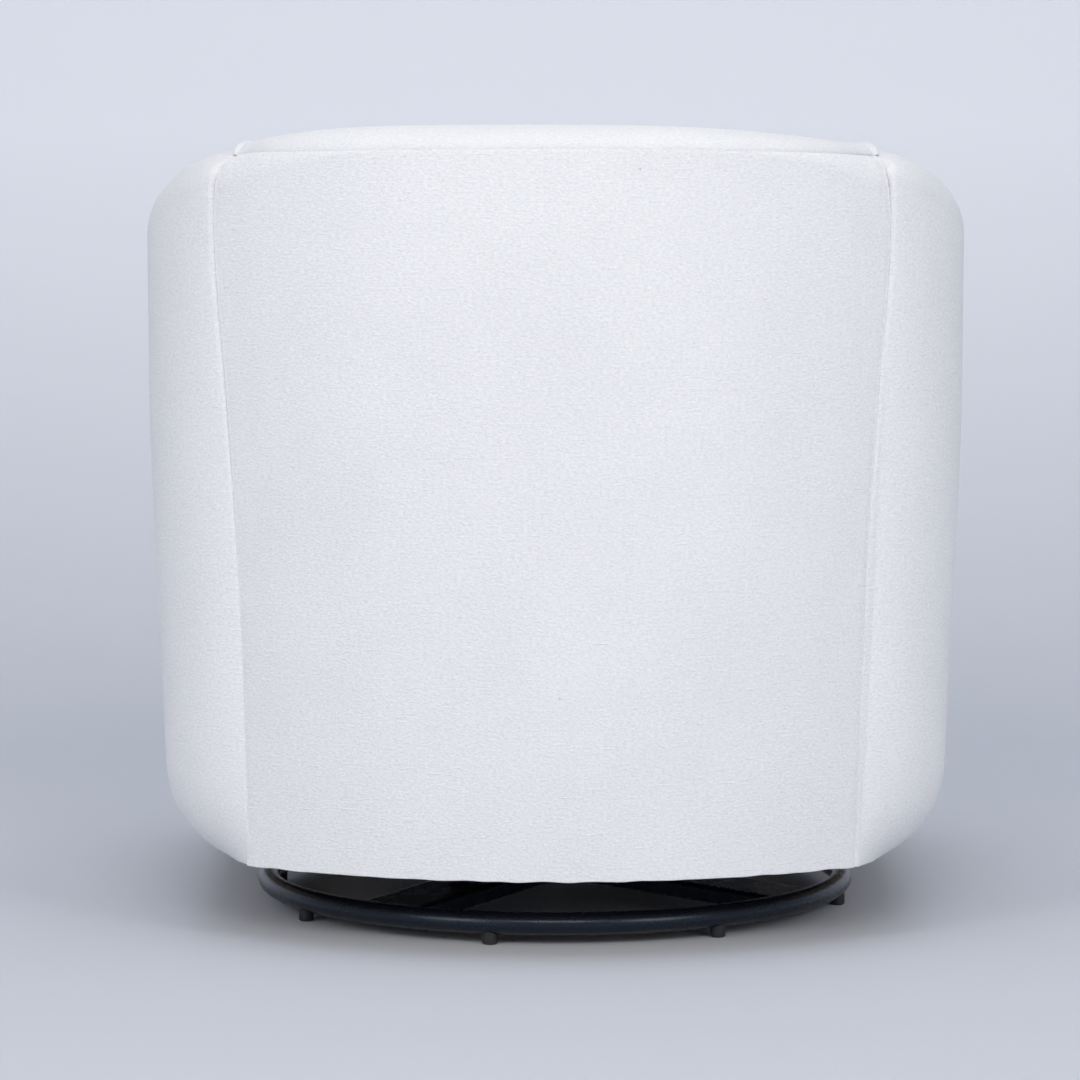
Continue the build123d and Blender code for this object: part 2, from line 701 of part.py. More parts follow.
arm_skin = arm_block(0, 0)
arm_ridges = arm_skin.edges().filter_by(lambda e: e.length > ARM_WIDTH * 2).sort_by(Axis.Z)[-2:]
channel = fillet(arm_ridges, ARM_EDGE_RADIUS) - arm_block(ARM_WALL, ARM_WALL) - foot_saddle
channel = channel.solids().sort_by(lambda s: s.volume)[-1]
arms = []
for index in range(ARM_COUNT):
    arms.append(Rot(0, 0, 45 + BASE_TURN + 360 / ARM_COUNT * index) * channel)
save("base_arms", group(arms))


def square_plate(side, corner, thickness, z, turn=0):
    sketch = RectangleRounded(side, side, corner)
    return Rot(0, 0, turn) * Pos(0, 0, z) * extrude(sketch, thickness)


def bolt_circle(turn):
    """Four bolt places on a square pattern."""
    half = BEARING_BOLT_SPACING / 2
    return [Rot(0, 0, turn) * Pos(x, y, 0) for x in (-half, half) for y in (-half, half)]


# Hub plate over the arms, and the swivel bearing bolted on it
base_turn = 45 + BASE_TURN
bolt_hole = BEARING_BOLT_DIAMETER + 2 * HOLE_FIT
hub_z = hub_arm_top
hub_top = hub_z + HUB_PLATE_THICKNESS
hub_plate = square_plate(HUB_PLATE_SIDE, HUB_PLATE_CORNER, HUB_PLATE_THICKNESS, hub_z, base_turn)
lower_plate = square_plate(BEARING_SIDE, BEARING_CORNER, BEARING_SHEET, hub_top, base_turn)
race_z = hub_top + BEARING_SHEET + BALL_DIAMETER / 2 - RACE_DEPTH
upper_z = race_z + BALL_DIAMETER / 2 - RACE_DEPTH
upper_top = upper_z + BEARING_SHEET
upper_plate = square_plate(BEARING_SIDE, BEARING_CORNER, BEARING_SHEET, upper_z)
race = Pos(0, 0, race_z) * Torus(BALL_CIRCLE / 2, BALL_DIAMETER / 2 + RUNNING_FIT)
pin_hole = SWIVEL_PIN_DIAMETER + 2 * RUNNING_FIT
lower_plate -= race + rod(pin_hole, (0, 0, hub_z), hub_top)
hub_plate -= rod(HUB_PLATE_HOLE, (0, 0, hub_z), hub_top)
upper_plate -= race + rod(SWIVEL_PIN_DIAMETER, (0, 0, upper_z), BEARING_SHEET)
hub_bolts = []
for place in bolt_circle(base_turn):
    hole = place * rod(bolt_hole, (0, 0, hub_z), hub_top)
    hub_plate -= hole
    lower_plate -= hole
    bolt = rod(BEARING_BOLT_DIAMETER, (0, 0, hub_z), hub_top + BEARING_SHEET - hub_z)
    bolt += rod(BOLT_HEAD, (0, 0, hub_top + BEARING_SHEET), HUB_BOLT_HEAD_HEIGHT)
    hub_bolts.append(place * bolt)
save("hub_plate", hub_plate)
save("bearing_lower_plate", lower_plate)
save("hub_bolts", group(hub_bolts))
balls = []
for index in range(BALL_COUNT):
    ball = Pos(BALL_CIRCLE / 2, 0, race_z) * Sphere(BALL_DIAMETER / 2)
    balls.append(Rot(0, 0, 360 / BALL_COUNT * index) * ball)
save("bearing_balls", group(balls))
pin_low = hub_top - SWIVEL_PIN_FLANGE
swivel_pin = rod(SWIVEL_PIN_DIAMETER, (0, 0, pin_low), upper_top + SWIVEL_PIN_RIM - pin_low)
swivel_pin += rod(SWIVEL_PIN_HEAD, (0, 0, pin_low), SWIVEL_PIN_FLANGE - SEAT_GAP)
swivel_pin += rod(SWIVEL_PIN_HEAD, (0, 0, upper_top), SWIVEL_PIN_RIM)
save("swivel_pin", swivel_pin)

# Two square tubes across the bearing, welded to the hanger plates
frame_bolts = []
tubes = {}
for name, side in (("front", -1), ("rear", 1)):
    y = side * TUBE_SPACING / 2
    span = (-hanger_x[0], hanger_x[0])
    tube = bar(span, (y - TUBE_SIDE / 2, y + TUBE_SIDE / 2), (upper_top, upper_top + TUBE_SIDE))
    hollow = TUBE_SIDE / 2 - TUBE_WALL
    hollow_z = (upper_top + TUBE_WALL, upper_top + TUBE_SIDE - TUBE_WALL)
    tubes[name] = tube - bar(span, (y - hollow, y + hollow), hollow_z)
bolt_height = upper_top + TUBE_SIDE - upper_z
for place in bolt_circle(0):
    hole = place * rod(bolt_hole, (0, 0, upper_z), bolt_height)
    upper_plate -= hole
    tubes["front"] -= hole
    tubes["rear"] -= hole
    bolt = rod(BEARING_BOLT_DIAMETER, (0, 0, upper_z), bolt_height)
    bolt += rod(BOLT_HEAD, (0, 0, upper_top + TUBE_SIDE), FRAME_BOLT_HEAD_HEIGHT)
    frame_bolts.append(place * bolt)
save("bearing_upper_plate", upper_plate)
save("frame_bolts", group(frame_bolts))
save("frame_crossbar_front", tubes["front"])
save("frame_crossbar_rear", tubes["rear"])

# Hanger plates that hold the four upper pivots, with rubber stops for the links
ear_radius = LINK_WIDTH / 2 + EAR_MARGIN
side_view = Plane(origin=(hanger_x[0], 0, 0), x_dir=(0, 1, 0), z_dir=(1, 0, 0))


def pivots(height):
    return [Pos(side * pivot_y, height) for side in (-1, 1)]


hanger_low = upper_top
hanger_high = UPPER_PIVOT_HEIGHT + ear_radius
hanger_hole_z = (hanger_low + TUBE_SIDE + hanger_high) / 2
hanger = make_face(Polyline(
    (-HANGER_FOOT / 2, hanger_low),
    (HANGER_FOOT / 2, hanger_low),
    (pivot_y + ear_radius, UPPER_PIVOT_HEIGHT),
    (pivot_y - ear_radius, hanger_high - HANGER_EAR_DROP),
    (-pivot_y + ear_radius, hanger_high - HANGER_EAR_DROP),
    (-pivot_y - ear_radius, UPPER_PIVOT_HEIGHT),
    close=True,
))
for step in (-1, 0, 1):
    hanger -= Pos(step * HANGER_HOLE_PITCH, hanger_hole_z) * Circle(HANGER_HOLE / 2)
for place in pivots(UPPER_PIVOT_HEIGHT):
    hanger += place * Circle(ear_radius)
for place in pivots(UPPER_PIVOT_HEIGHT):
    hanger -= place * Circle(PIN_DIAMETER / 2)
hanger_plate = extrude(side_view * hanger, HANGER_SHEET)
save_pair("hanger_plate", hanger_plate)

bumper_offset = LINK_WIDTH / 2 + BUMPER_DIAMETER / 2 + BUMPER_GAP
stop_angle = radians(LINK_SWING) + asin(bumper_offset / BUMPER_REACH)
bumpers = []
for side in (-1, 1):
    y = side * (pivot_y - BUMPER_REACH * sin(stop_angle))
    z = UPPER_PIVOT_HEIGHT - BUMPER_REACH * cos(stop_angle)
    bumpers.append(rod(BUMPER_DIAMETER, (hanger_x[1], y, z), link_x[1] - hanger_x[1], "X"))
save("stop_bumpers", group(bumpers + [mirror(piece, about=Plane.YZ) for piece in bumpers]))


# Swing links with plain bushes in both eyes
def link_plate(side):
    """Flat link of the left side, hanging straight down at rest."""
    y = side * pivot_y
    outline = make_face(Polyline(
        (y - LINK_WIDTH / 2, lower_pivot_height),
        (y + LINK_WIDTH / 2, lower_pivot_height),
        (y + LINK_WIDTH / 2, UPPER_PIVOT_HEIGHT),
        (y - LINK_WIDTH / 2, UPPER_PIVOT_HEIGHT),
        close=True,
    ))
    for z in (lower_pivot_height, UPPER_PIVOT_HEIGHT):
        outline += Pos(y, z) * Circle(LINK_WIDTH / 2)
    for z in (lower_pivot_height, UPPER_PIVOT_HEIGHT):
        outline -= Pos(y, z) * Circle(PIN_DIAMETER / 2 + BUSH_WALL)
    plane = Plane(origin=(link_x[0], 0, 0), x_dir=(0, 1, 0), z_dir=(1, 0, 0))
    return extrude(plane * outline, LINK_SHEET)


def link_bushes(side):
    """Bushes of one pair of links, left and right, with running clearance on the pins."""
    bushes = []
    for z in (lower_pivot_height, UPPER_PIVOT_HEIGHT):
        open_pivot = side > 0 and z == lower_pivot_height
        bore = PIN_DIAMETER + 2 * (OPEN_PIVOT_FIT if open_pivot else RUNNING_FIT)
        start = (link_x[0] - BUSH_PROUD, side * pivot_y, z)
        length = LINK_SHEET + 2 * BUSH_PROUD
        bush = rod(PIN_DIAMETER + 2 * BUSH_WALL, start, length, "X")
        bushes.append(bush - rod(bore, start, length, "X"))
    return group(bushes + [mirror(piece, about=Plane.YZ) for piece in bushes])


for name, side in (("front", -1), ("rear", 1)):
    save_pair(f"{name}_link", link_plate(side))
    save(f"{name}_link_bushes", link_bushes(side))

# Carriers screwed under the seat side rails, holding the four lower pivots
carrier_face = make_face(Polyline(
    (-pivot_y - ear_radius, lower_pivot_height - ear_radius / 2),
    (pivot_y + ear_radius, lower_pivot_height - ear_radius / 2),
    (pivot_y + ear_radius, seat_rail_z[0]),
    (-pivot_y - ear_radius, seat_rail_z[0]),
    close=True,
))
carrier_hole_z = (lower_pivot_height + seat_rail_z[0]) / 2
for step in (-1, 0, 1):
    carrier_face -= Pos(step * CARRIER_HOLE_PITCH, carrier_hole_z) * Circle(CARRIER_HOLE / 2)
for place in pivots(lower_pivot_height):
    carrier_face -= place * Circle(PIN_DIAMETER / 2)
carrier = extrude(
    Plane(origin=(carrier_x[0], 0, 0), x_dir=(0, 1, 0), z_dir=(1, 0, 0)) * carrier_face, CARRIER_SHEET
)
flange_x = (carrier_x[0], carrier_x[0] + CARRIER_FLANGE)
flange_z = (seat_rail_z[0] - CARRIER_SHEET, seat_rail_z[0])
carrier += bar(flange_x, (-pivot_y - ear_radius, pivot_y + ear_radius), flange_z)
screw_x = (side_rail_x[0] + side_rail_x[1]) / 2
screws = []
for y in (-pivot_y + SCREW_INSET, 0, pivot_y - SCREW_INSET):
    foot = (screw_x, y, flange_z[0])
    carrier -= rod(SCREW_DIAMETER, foot, CARRIER_SHEET)
    side_rail -= rod(SCREW_DIAMETER, foot, SCREW_LENGTH)
    screw = rod(SCREW_DIAMETER, foot, SCREW_LENGTH)
    head = rod(SCREW_HEAD, (screw_x, y, flange_z[0] - SCREW_HEAD_HEIGHT), SCREW_HEAD_HEIGHT)
    screws.append(screw + head)
save_pair("carrier", carrier)
save_pair("seat_side_rail", side_rail)
save("carrier_screws", group(screws + [mirror(piece, about=Plane.YZ) for piece in screws]))


def pivot_pin(x_head, x_end, side, z):
    """Headed pin along X: its head lies outside the sheet that holds it."""
    low, high = min(x_head, x_end), max(x_head, x_end)
    pin = rod(PIN_DIAMETER, (low, side * pivot_y, z), high - low, "X")
    head_x = low - PIN_HEAD_HEIGHT if x_head == low else high
    return pin + rod(PIN_HEAD, (head_x, side * pivot_y, z), PIN_HEAD_HEIGHT, "X")


upper_end = link_x[1] + BUSH_PROUD
lower_end = link_x[0] - BUSH_PROUD
upper_pins = [pivot_pin(hanger_x[0], upper_end, side, UPPER_PIVOT_HEIGHT) for side in (-1, 1)]
lower_pins = [pivot_pin(carrier_x[1], lower_end, side, lower_pivot_height) for side in (-1, 1)]
save("upper_pivot_pins", group(upper_pins + [mirror(piece, about=Plane.YZ) for piece in upper_pins]))
save("lower_pivot_pins", group(lower_pins + [mirror(piece, about=Plane.YZ) for piece in lower_pins]))
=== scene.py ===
from math import asin, cos, exp, pi, radians, sin, sqrt

import bmesh
import bpy
from mathutils import Matrix, Vector, noise
from mathutils.kdtree import KDTree


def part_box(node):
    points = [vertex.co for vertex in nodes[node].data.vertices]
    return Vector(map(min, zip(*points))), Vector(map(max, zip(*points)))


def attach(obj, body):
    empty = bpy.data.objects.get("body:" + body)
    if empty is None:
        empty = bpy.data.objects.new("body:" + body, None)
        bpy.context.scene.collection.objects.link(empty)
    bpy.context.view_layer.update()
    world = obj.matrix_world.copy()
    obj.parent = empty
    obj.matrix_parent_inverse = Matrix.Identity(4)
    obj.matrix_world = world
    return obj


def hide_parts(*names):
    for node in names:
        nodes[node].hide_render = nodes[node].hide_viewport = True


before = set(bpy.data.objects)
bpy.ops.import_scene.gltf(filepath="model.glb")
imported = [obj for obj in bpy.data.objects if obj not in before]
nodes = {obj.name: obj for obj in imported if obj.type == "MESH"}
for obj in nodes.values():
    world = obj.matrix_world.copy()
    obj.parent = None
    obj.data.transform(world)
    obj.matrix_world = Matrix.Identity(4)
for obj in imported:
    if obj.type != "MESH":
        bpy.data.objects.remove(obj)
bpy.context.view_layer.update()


# Floor ring. A length of steel tube rolled to a circle, butt welded and powder coated satin black.
# It lies on eight glides and carries the whole chair through four pressed arms.
class Shade:
    """One socket of a material's node tree. Sums written with it add Math nodes to that tree."""

    def __init__(self, tree, socket=None):
        self.tree = tree
        self.socket = socket

    def make(self, kind, settings=None, inputs=None, out=0):
        """Add a node: its settings first, then the values or links of its sockets."""
        node = self.tree.nodes.new(kind)
        for key, value in (settings or {}).items():
            if key == "stops":
                ramp = node.color_ramp.elements
                for element, (place, tone) in zip(ramp, value):
                    element.position = place
                    element.color = (tone, tone, tone, 1)
            else:
                setattr(node, key, value)
        for key, value in (inputs or {}).items():
            if isinstance(value, Shade):
                self.tree.links.new(value.socket, node.inputs[key])
            else:
                node.inputs[key].default_value = value
        return Shade(self.tree, node.outputs[out])

    def sum(self, operation, first, second):
        return self.make("ShaderNodeMath", {"operation": operation}, {0: first, 1: second})

    def __add__(self, other):
        return self.sum("ADD", self, other)

    def __radd__(self, other):
        return self.sum("ADD", other, self)

    def __sub__(self, other):
        return self.sum("SUBTRACT", self, other)

    def __rsub__(self, other):
        return self.sum("SUBTRACT", other, self)

    def __mul__(self, other):
        return self.sum("MULTIPLY", self, other)

    def __rmul__(self, other):
        return self.sum("MULTIPLY", other, self)

    def __gt__(self, other):
        return self.sum("GREATER_THAN", self, other)

    def noise(self, place, scale, detail=2.0, roughness=0.5):
        """Smooth noise between 0 and 1 over a place."""
        inputs = {"Vector": place, "Scale": scale, "Detail": detail, "Roughness": roughness}
        return self.make("ShaderNodeTexNoise", inputs=inputs)

    def stretch(self, place, scale):
        """The same place with each axis scaled by itself."""
        return self.make("ShaderNodeMapping", inputs={"Vector": place, "Scale": scale})

    def blend(self, factor, first, second):
        """A colour between two colours."""
        return self.make("ShaderNodeMix", {"data_type": "RGBA"}, {0: factor, 6: first, 7: second}, out=2)

    def bump(self, strength, distance, height):
        """A normal raised by a height."""
        inputs = {"Strength": strength, "Distance": distance, "Height": height}
        return self.make("ShaderNodeBump", inputs=inputs)


def new_finish(name, **constants):
    """A material with one Principled shader. Returns it, a Shade to build with and a way to feed it."""
    material = bpy.data.materials.new(name)
    material.use_nodes = True
    tree = material.node_tree
    shader = tree.nodes["Principled BSDF"]
    for key, value in constants.items():
        shader.inputs[key.replace("_", " ")].default_value = value

    def feed(socket, shade):
        tree.links.new(shade.socket, shader.inputs[socket])

    return material, Shade(tree), feed


def powder_coat(name, dark, pale):
    """Satin black powder coat: a faint orange peel, and dust in its tone and gloss."""
    tint = (0.70, 0.83, 1.0, 1)
    material, shade, feed = new_finish(name, Specular_IOR_Level=0.45, Specular_Tint=tint)
    place = shade.make("ShaderNodeTexCoord", out="Object")
    peel = shade.noise(place, 700, 3)
    patches = shade.noise(place, 14, 4, 0.6)
    feed("Base Color", shade.blend(patches, dark + (1,), pale + (1,)))
    feed("Roughness", 0.17 + 0.15 * patches + 0.05 * peel)
    feed("Normal", shade.bump(0.18, 0.0006, peel))
    return material


def new_piece(name, shape, material, body, stands_for):
    """Turn a finished bmesh into a smooth piece that rides a body and stands for a CAD node."""
    mesh = bpy.data.meshes.new(name)
    shape.to_mesh(mesh)
    shape.free()
    mesh.polygons.foreach_set("use_smooth", [True] * len(mesh.polygons))
    mesh.materials.append(material)
    piece = bpy.data.objects.new(name, mesh)
    bpy.context.scene.collection.objects.link(piece)
    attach(piece, body)
    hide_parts(stands_for)
    return piece


RING_SIDES = 28
RING_STEPS = 192
black_coat = powder_coat("black_powder_coat", (0.0045, 0.006, 0.011), (0.010, 0.0125, 0.021))
ring_low, ring_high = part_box("base_ring")
ring_tube = ring_high.z - ring_low.z
ring_radius = ring_high.x - ring_tube / 2
ring_place = Matrix.Translation((ring_radius, 0, (ring_low.z + ring_high.z) / 2))
ring = bmesh.new()
bmesh.ops.create_circle(
    ring, segments=RING_SIDES, radius=ring_tube / 2, matrix=ring_place @ Matrix.Rotation(pi / 2, 4, "X")
)
bmesh.ops.spin(
    ring, geom=ring.verts[:] + ring.edges[:], axis=(0, 0, 1), cent=(0, 0, 0), angle=2 * pi,
    steps=RING_STEPS, use_merge=True
)
bmesh.ops.recalc_face_normals(ring, faces=ring.faces)
new_piece("floor_ring", ring, black_coat, "base", "base_ring")


# Glides. Small black nylon feet with a rounded pad, pushed up on to the underside of the ring.
# Each one is turned to the same profile and stands on the floor.
def nylon(name, colour):
    """Moulded nylon with a soft sheen and a fine spark texture."""
    material, shade, feed = new_finish(name)
    place = shade.make("ShaderNodeTexCoord", out="Object")
    grain = shade.noise(place, 1200, 2)
    feed("Base Color", shade.blend(grain, tuple(0.8 * c for c in colour) + (1,), colour + (1,)))
    feed("Roughness", 0.38 + 0.14 * grain)
    feed("Normal", shade.bump(0.2, 0.0004, grain))
    return material


def dress(material, *names):
    """Give a finish to CAD nodes that show as they are."""
    for name in names:
        nodes[name].material_slots[0].material = material


dress(nylon("glide_nylon", (0.018, 0.018, 0.021)), "foot_glides")


# Steel of the base and the glider: pressed arms, hub, square tubes, hangers, links and carriers.
# All are powder coated like the ring, and the bearing, pins, bolts and screws are bright zinc plate.
def zinc_plate():
    """Bright zinc: clear metal with a faint cloudy spangle and fine scratches."""
    material, shade, feed = new_finish("zinc_steel", Metallic=1.0)
    place = shade.make("ShaderNodeTexCoord", out="Object")
    cloud = shade.noise(place, 90, 3)
    scratch = shade.noise(shade.stretch(place, (40, 900, 900)), 2, 2)
    feed("Base Color", shade.blend(cloud, (0.52, 0.53, 0.55, 1), (0.68, 0.69, 0.70, 1)))
    feed("Roughness", 0.24 + 0.16 * cloud + 0.08 * scratch)
    return material


dress(
    black_coat, "base_arms", "hub_plate", "frame_crossbar_front", "frame_crossbar_rear",
    "hanger_plate_left", "hanger_plate_right", "front_link_left", "front_link_right", "rear_link_left",
    "rear_link_right", "carrier_left", "carrier_right"
)
dress(
    zinc_plate(), "bearing_lower_plate", "bearing_upper_plate", "bearing_balls", "hub_bolts",
    "frame_bolts", "swivel_pin", "upper_pivot_pins", "lower_pivot_pins", "carrier_screws"
)

# Bushes and stops. Pale nylon sleeves are pressed into the eyes of the links and turn on the pins, and
# black rubber buttons on the hangers stop the swing.
dress(nylon("bush_nylon", (0.72, 0.70, 0.63)), "front_link_bushes", "rear_link_bushes")
dress(nylon("stop_rubber", (0.022, 0.022, 0.022)), "stop_bumpers")


# Timber frame. Plywood rails and posts that the cloth and webbing are stapled to, left bare
# because the covers hide them.
def plywood():
    """Bare plywood: long pale grain with darker early wood and some glue-line tone."""
    material, shade, feed = new_finish("frame_timber")
    place = shade.make("ShaderNodeTexCoord", out="Object")
    warp = shade.noise(place, 6, 3)
    grain = shade.noise(shade.stretch(place, (14, 14, 160)), 1.6, 5, 0.65)
    tone = 0.65 * grain + 0.35 * warp
    feed("Base Color", shade.blend(tone, (0.42, 0.27, 0.14, 1), (0.70, 0.53, 0.34, 1)))
    feed("Roughness", 0.62 + 0.2 * grain)
    feed("Normal", shade.bump(0.25, 0.0008, grain))
    return material


dress(
    plywood(), "seat_front_rail", "seat_back_rail", "seat_side_rail_left", "seat_side_rail_right",
    "corner_blocks", "bottom_rail_left", "bottom_rail_right", "bottom_rail_back", "arm_rail_left",
    "arm_rail_right", "frame_posts", "back_top_rail"
)


# Webbing. Elastic straps stapled across the seat rails and up the back, which give the seat its spring.
# They run both ways in the seat, one layer over the other.
def strap_cloth(name, dark, pale, rib):
    """Black strap or felt, ribbed across at a pitch given in ribs to the metre."""
    material, shade, feed = new_finish(name, Sheen_Weight=0.2)
    place = shade.make("ShaderNodeTexCoord", out="Object")
    fuzz = shade.noise(place, 900, 3)
    inputs = {"Vector": place, "Scale": rib, "Distortion": 0.6}
    ribs = shade.make("ShaderNodeTexWave", {"bands_direction": "Y"}, inputs, out=1)
    feed("Base Color", shade.blend(0.6 * fuzz + 0.4 * ribs, dark + (1,), pale + (1,)))
    feed("Roughness", 0.85 + 0.1 * fuzz)
    feed("Normal", shade.bump(0.4, 0.0008, 0.5 * fuzz + 0.5 * ribs))
    return material


dress(
    strap_cloth("elastic_webbing", (0.03, 0.03, 0.035), (0.10, 0.10, 0.11), 120),
    "seat_webbing_long", "seat_webbing_cross", "back_webbing"
)


# Outside back. One panel of white slubbed cloth over thin wadding, stretched from the hem to the
# top seam and sewn at both sides, so it is tight and only slightly crowned.
def slub_cloth():
    """White plain weave: fine threads with short thick slubs along the weft and a rare dark fleck."""
    material, shade, feed = new_finish(
        "woven_cloth", Sheen_Weight=0.2, Sheen_Roughness=0.5, Specular_IOR_Level=0.2
    )
    place = shade.make("ShaderNodeUVMap", {"uv_map": "weave"})
    weft = shade.noise(shade.stretch(place, (420, 1000, 1)), 1.0, 2, 0.6)
    warp = shade.noise(shade.stretch(place, (1000, 420, 1)), 1.0, 2, 0.6)
    nub = shade.noise(shade.stretch(place, (250, 470, 1)), 1.0, 3, 0.65)
    slub = shade.noise(shade.stretch(place, (62, 470, 1)), 1.0, 2, 0.55)
    thick = shade.make("ShaderNodeValToRGB", {"stops": [(0.58, 0.0), (0.78, 1.0)]}, {"Fac": slub})
    wear = shade.noise(place, 7, 3, 0.55)
    height = 0.3 * weft + 0.25 * warp + 0.4 * thick + 0.8 * nub
    blotch = 0.5 * nub + 0.2 * weft + 0.18 * warp + 0.12 * wear
    tone = shade.make("ShaderNodeValToRGB", {"stops": [(0.34, 0.0), (0.64, 1.0)]}, {"Fac": blotch})
    cloth = shade.blend(0.85 * tone + 0.15 * thick, (0.735, 0.737, 0.75, 1), (0.985, 0.982, 0.978, 1))
    fleck = shade.noise(shade.stretch(place, (150, 150, 1)), 1.0, 0) > 0.93
    feed("Base Color", shade.blend(0.35 * fleck, cloth, (0.32, 0.30, 0.28, 1)))
    feed("Roughness", 0.86 + 0.1 * nub)
    feed("Normal", shade.bump(0.6, 0.002, height))
    return material


def ease(value):
    """Smooth step from 0 to 1."""
    value = min(max(value, 0.0), 1.0)
    return value * value * (3 - 2 * value)


def near(distance, width):
    """1 at an edge, easing to 0 at a width away from it."""
    return 1 - ease(distance / width)


SWELLS_PER_METRE = 5.0
CROWDING = 0.4


def slack(point, size):
    """Small uneven swell of stuffed cloth at a place, in metres."""
    return size * noise.fractal(Vector(point) * SWELLS_PER_METRE, 1.0, 2.0, 2)


def crowd(place):
    """A grid place from -0.5 to 0.5 as a share, with the lines closer together at the sewn edges."""
    return place * (1 + CROWDING - 4 * CROWDING * place * place) + 0.5


def lay_cloth(columns, rows, size, surface):
    """A sheet of cloth laid on a surface given by two shares, across and up. Its map "weave" is in
    metres along the cloth."""
    sheet = bmesh.new()
    weave = sheet.loops.layers.uv.new("weave")
    bmesh.ops.create_grid(sheet, x_segments=columns, y_segments=rows, size=0.5)
    for face in sheet.faces:
        for loop in face.loops:
            loop[weave].uv = (crowd(loop.vert.co.x) * size[0], crowd(loop.vert.co.y) * size[1])
    for vert in sheet.verts:
        vert.co = surface(crowd(vert.co.x), crowd(vert.co.y))
    bmesh.ops.reverse_faces(sheet, faces=sheet.faces)
    return sheet


def back_with_wadding(piece, thickness):
    """Close a sheet of cloth behind with its wadding."""
    wadding = piece.modifiers.new("wadding", "SOLIDIFY")
    wadding.thickness = thickness
    wadding.offset = -1


woven_cloth = slub_cloth()
PANEL_WADDING = 0.012
BACK_RADIUS = 0.560
BACK_LEAN = 0.050
SEAM_ANGLE = radians(35)
SEAM_CROWN = 0.036
SEAM_UNDERLAP = 0.004
SEAM_SHIFT = 0.004
SWAY_TURN, SWAY_IN, SWAY_OUT = 0.7, 0.0048, 0.0042
HEM_PULL, PULL_FROM_Z, PULL_RUN = 0.35, 0.25, 0.4
TOP_SEAM_DIP = 0.006
TOP_UNDERLAP = 0.002
CORNER_UNDERLAP, CORNER_FROM, CORNER_RUN = 0.004, 0.9, 0.08
CORNER_SHARE = 0.93
CREST_END_FROM, CREST_END_RUN = 0.78, 0.2
TOP_END_DROP = 0.019
LEFT_FULLNESS = 0.013
CREST_RADIUS = 0.510
CREST_END_RADIUS = 0.524
SEAM_BOW, BACK_BOW = 0.001, 0.004
SIDE_TUCK, SIDE_TUCK_WIDTH = 0.0022, 0.011
TOP_TUCK, TOP_TUCK_WIDTH = 0.0005, 0.005
HOLLOW, HOLLOW_WIDTH, HOLLOW_FROM, HOLLOW_RISE = 0.0016, 0.060, 0.15, 0.6
PUCKER, PUCKER_LESS_LEFT, PUCKER_WIDTH = 0.0038, 0.0010, 0.022
PUCKER_BELOW_TOP, PUCKER_RUN = 0.010, 0.052
BACK_SLACK = 0.0010
HEM_WAVE, BACK_HEM_SHARE, BACK_HEM_WAVES = 0.0012, 0.03, 13
back_low, back_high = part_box("outside_back")
hem_z, shoulder_z = back_low.z, back_high.z
crest_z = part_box("inside_back")[1].z
back_axis_y = back_high.y - BACK_RADIUS
half_back = BACK_RADIUS * SEAM_ANGLE


def lean_at(z):
    """How far the face of the back stands in at a height."""
    return BACK_LEAN * (shoulder_z - z) / (shoulder_z - hem_z)


def back_point(angle, radius, z):
    """A point at an angle, radius and height about the upright axis of the back's arc."""
    return Vector((radius * sin(angle), back_axis_y + radius * cos(angle), z))


def seam_sway(z, side):
    """How far a sewn side seam wanders outwards from its plane at a height. The whole panel is sewn a
    little to the left."""
    up = (z - hem_z) / (shoulder_z - hem_z)
    if up < SWAY_TURN:
        return SEAM_SHIFT * side - SWAY_IN * sin(pi * max(up, 0) / SWAY_TURN)
    return SEAM_SHIFT * side + SWAY_OUT * sin(pi * min((up - SWAY_TURN) / (1 - SWAY_TURN), 1))


def seam_pull(z):
    """How hard the thread draws the cloth in at a side seam: hard at the shoulder, little at the hem."""
    return HEM_PULL + (1 - HEM_PULL) * ease((z - PULL_FROM_Z) / PULL_RUN)


def top_seam_z(share):
    """Height of the top seam. It dips to the corners where it meets the side seams."""
    corner = ease((abs(share) - CORNER_SHARE) / (1 - CORNER_SHARE))
    return shoulder_z - TOP_SEAM_DIP * share * share - TOP_SEAM_DIP * corner


def crest_at(share):
    """Radius and height of the top of the back: fuller on the left, lower to both ends."""
    height = crest_z - TOP_END_DROP * abs(share) ** 3 + LEFT_FULLNESS * share ** 3 * (1 - share * share)
    return CREST_RADIUS + (CREST_END_RADIUS - CREST_RADIUS) * share * share, height


def back_radius_at(share, z):
    """Radius of the back's outside at a height: a leaning wall that rounds over to the crest."""
    up = (z - hem_z) / (shoulder_z - hem_z)
    bow = (SEAM_BOW + BACK_BOW * (1 - share * share)) * sin(pi * up)
    round_z = shoulder_z - SEAM_CROWN * min(abs(share) / CORNER_SHARE, 1) ** 4
    wall = BACK_RADIUS - lean_at(min(z, round_z)) + bow
    if z <= round_z:
        return wall
    crest_radius, top = crest_at(share)
    top += (shoulder_z - top) * ease((abs(share) - CREST_END_FROM) / CREST_END_RUN)
    rise = min((z - round_z) / (top - round_z), 1.0)
    return crest_radius + (wall - crest_radius) * sqrt(1 - rise * rise)


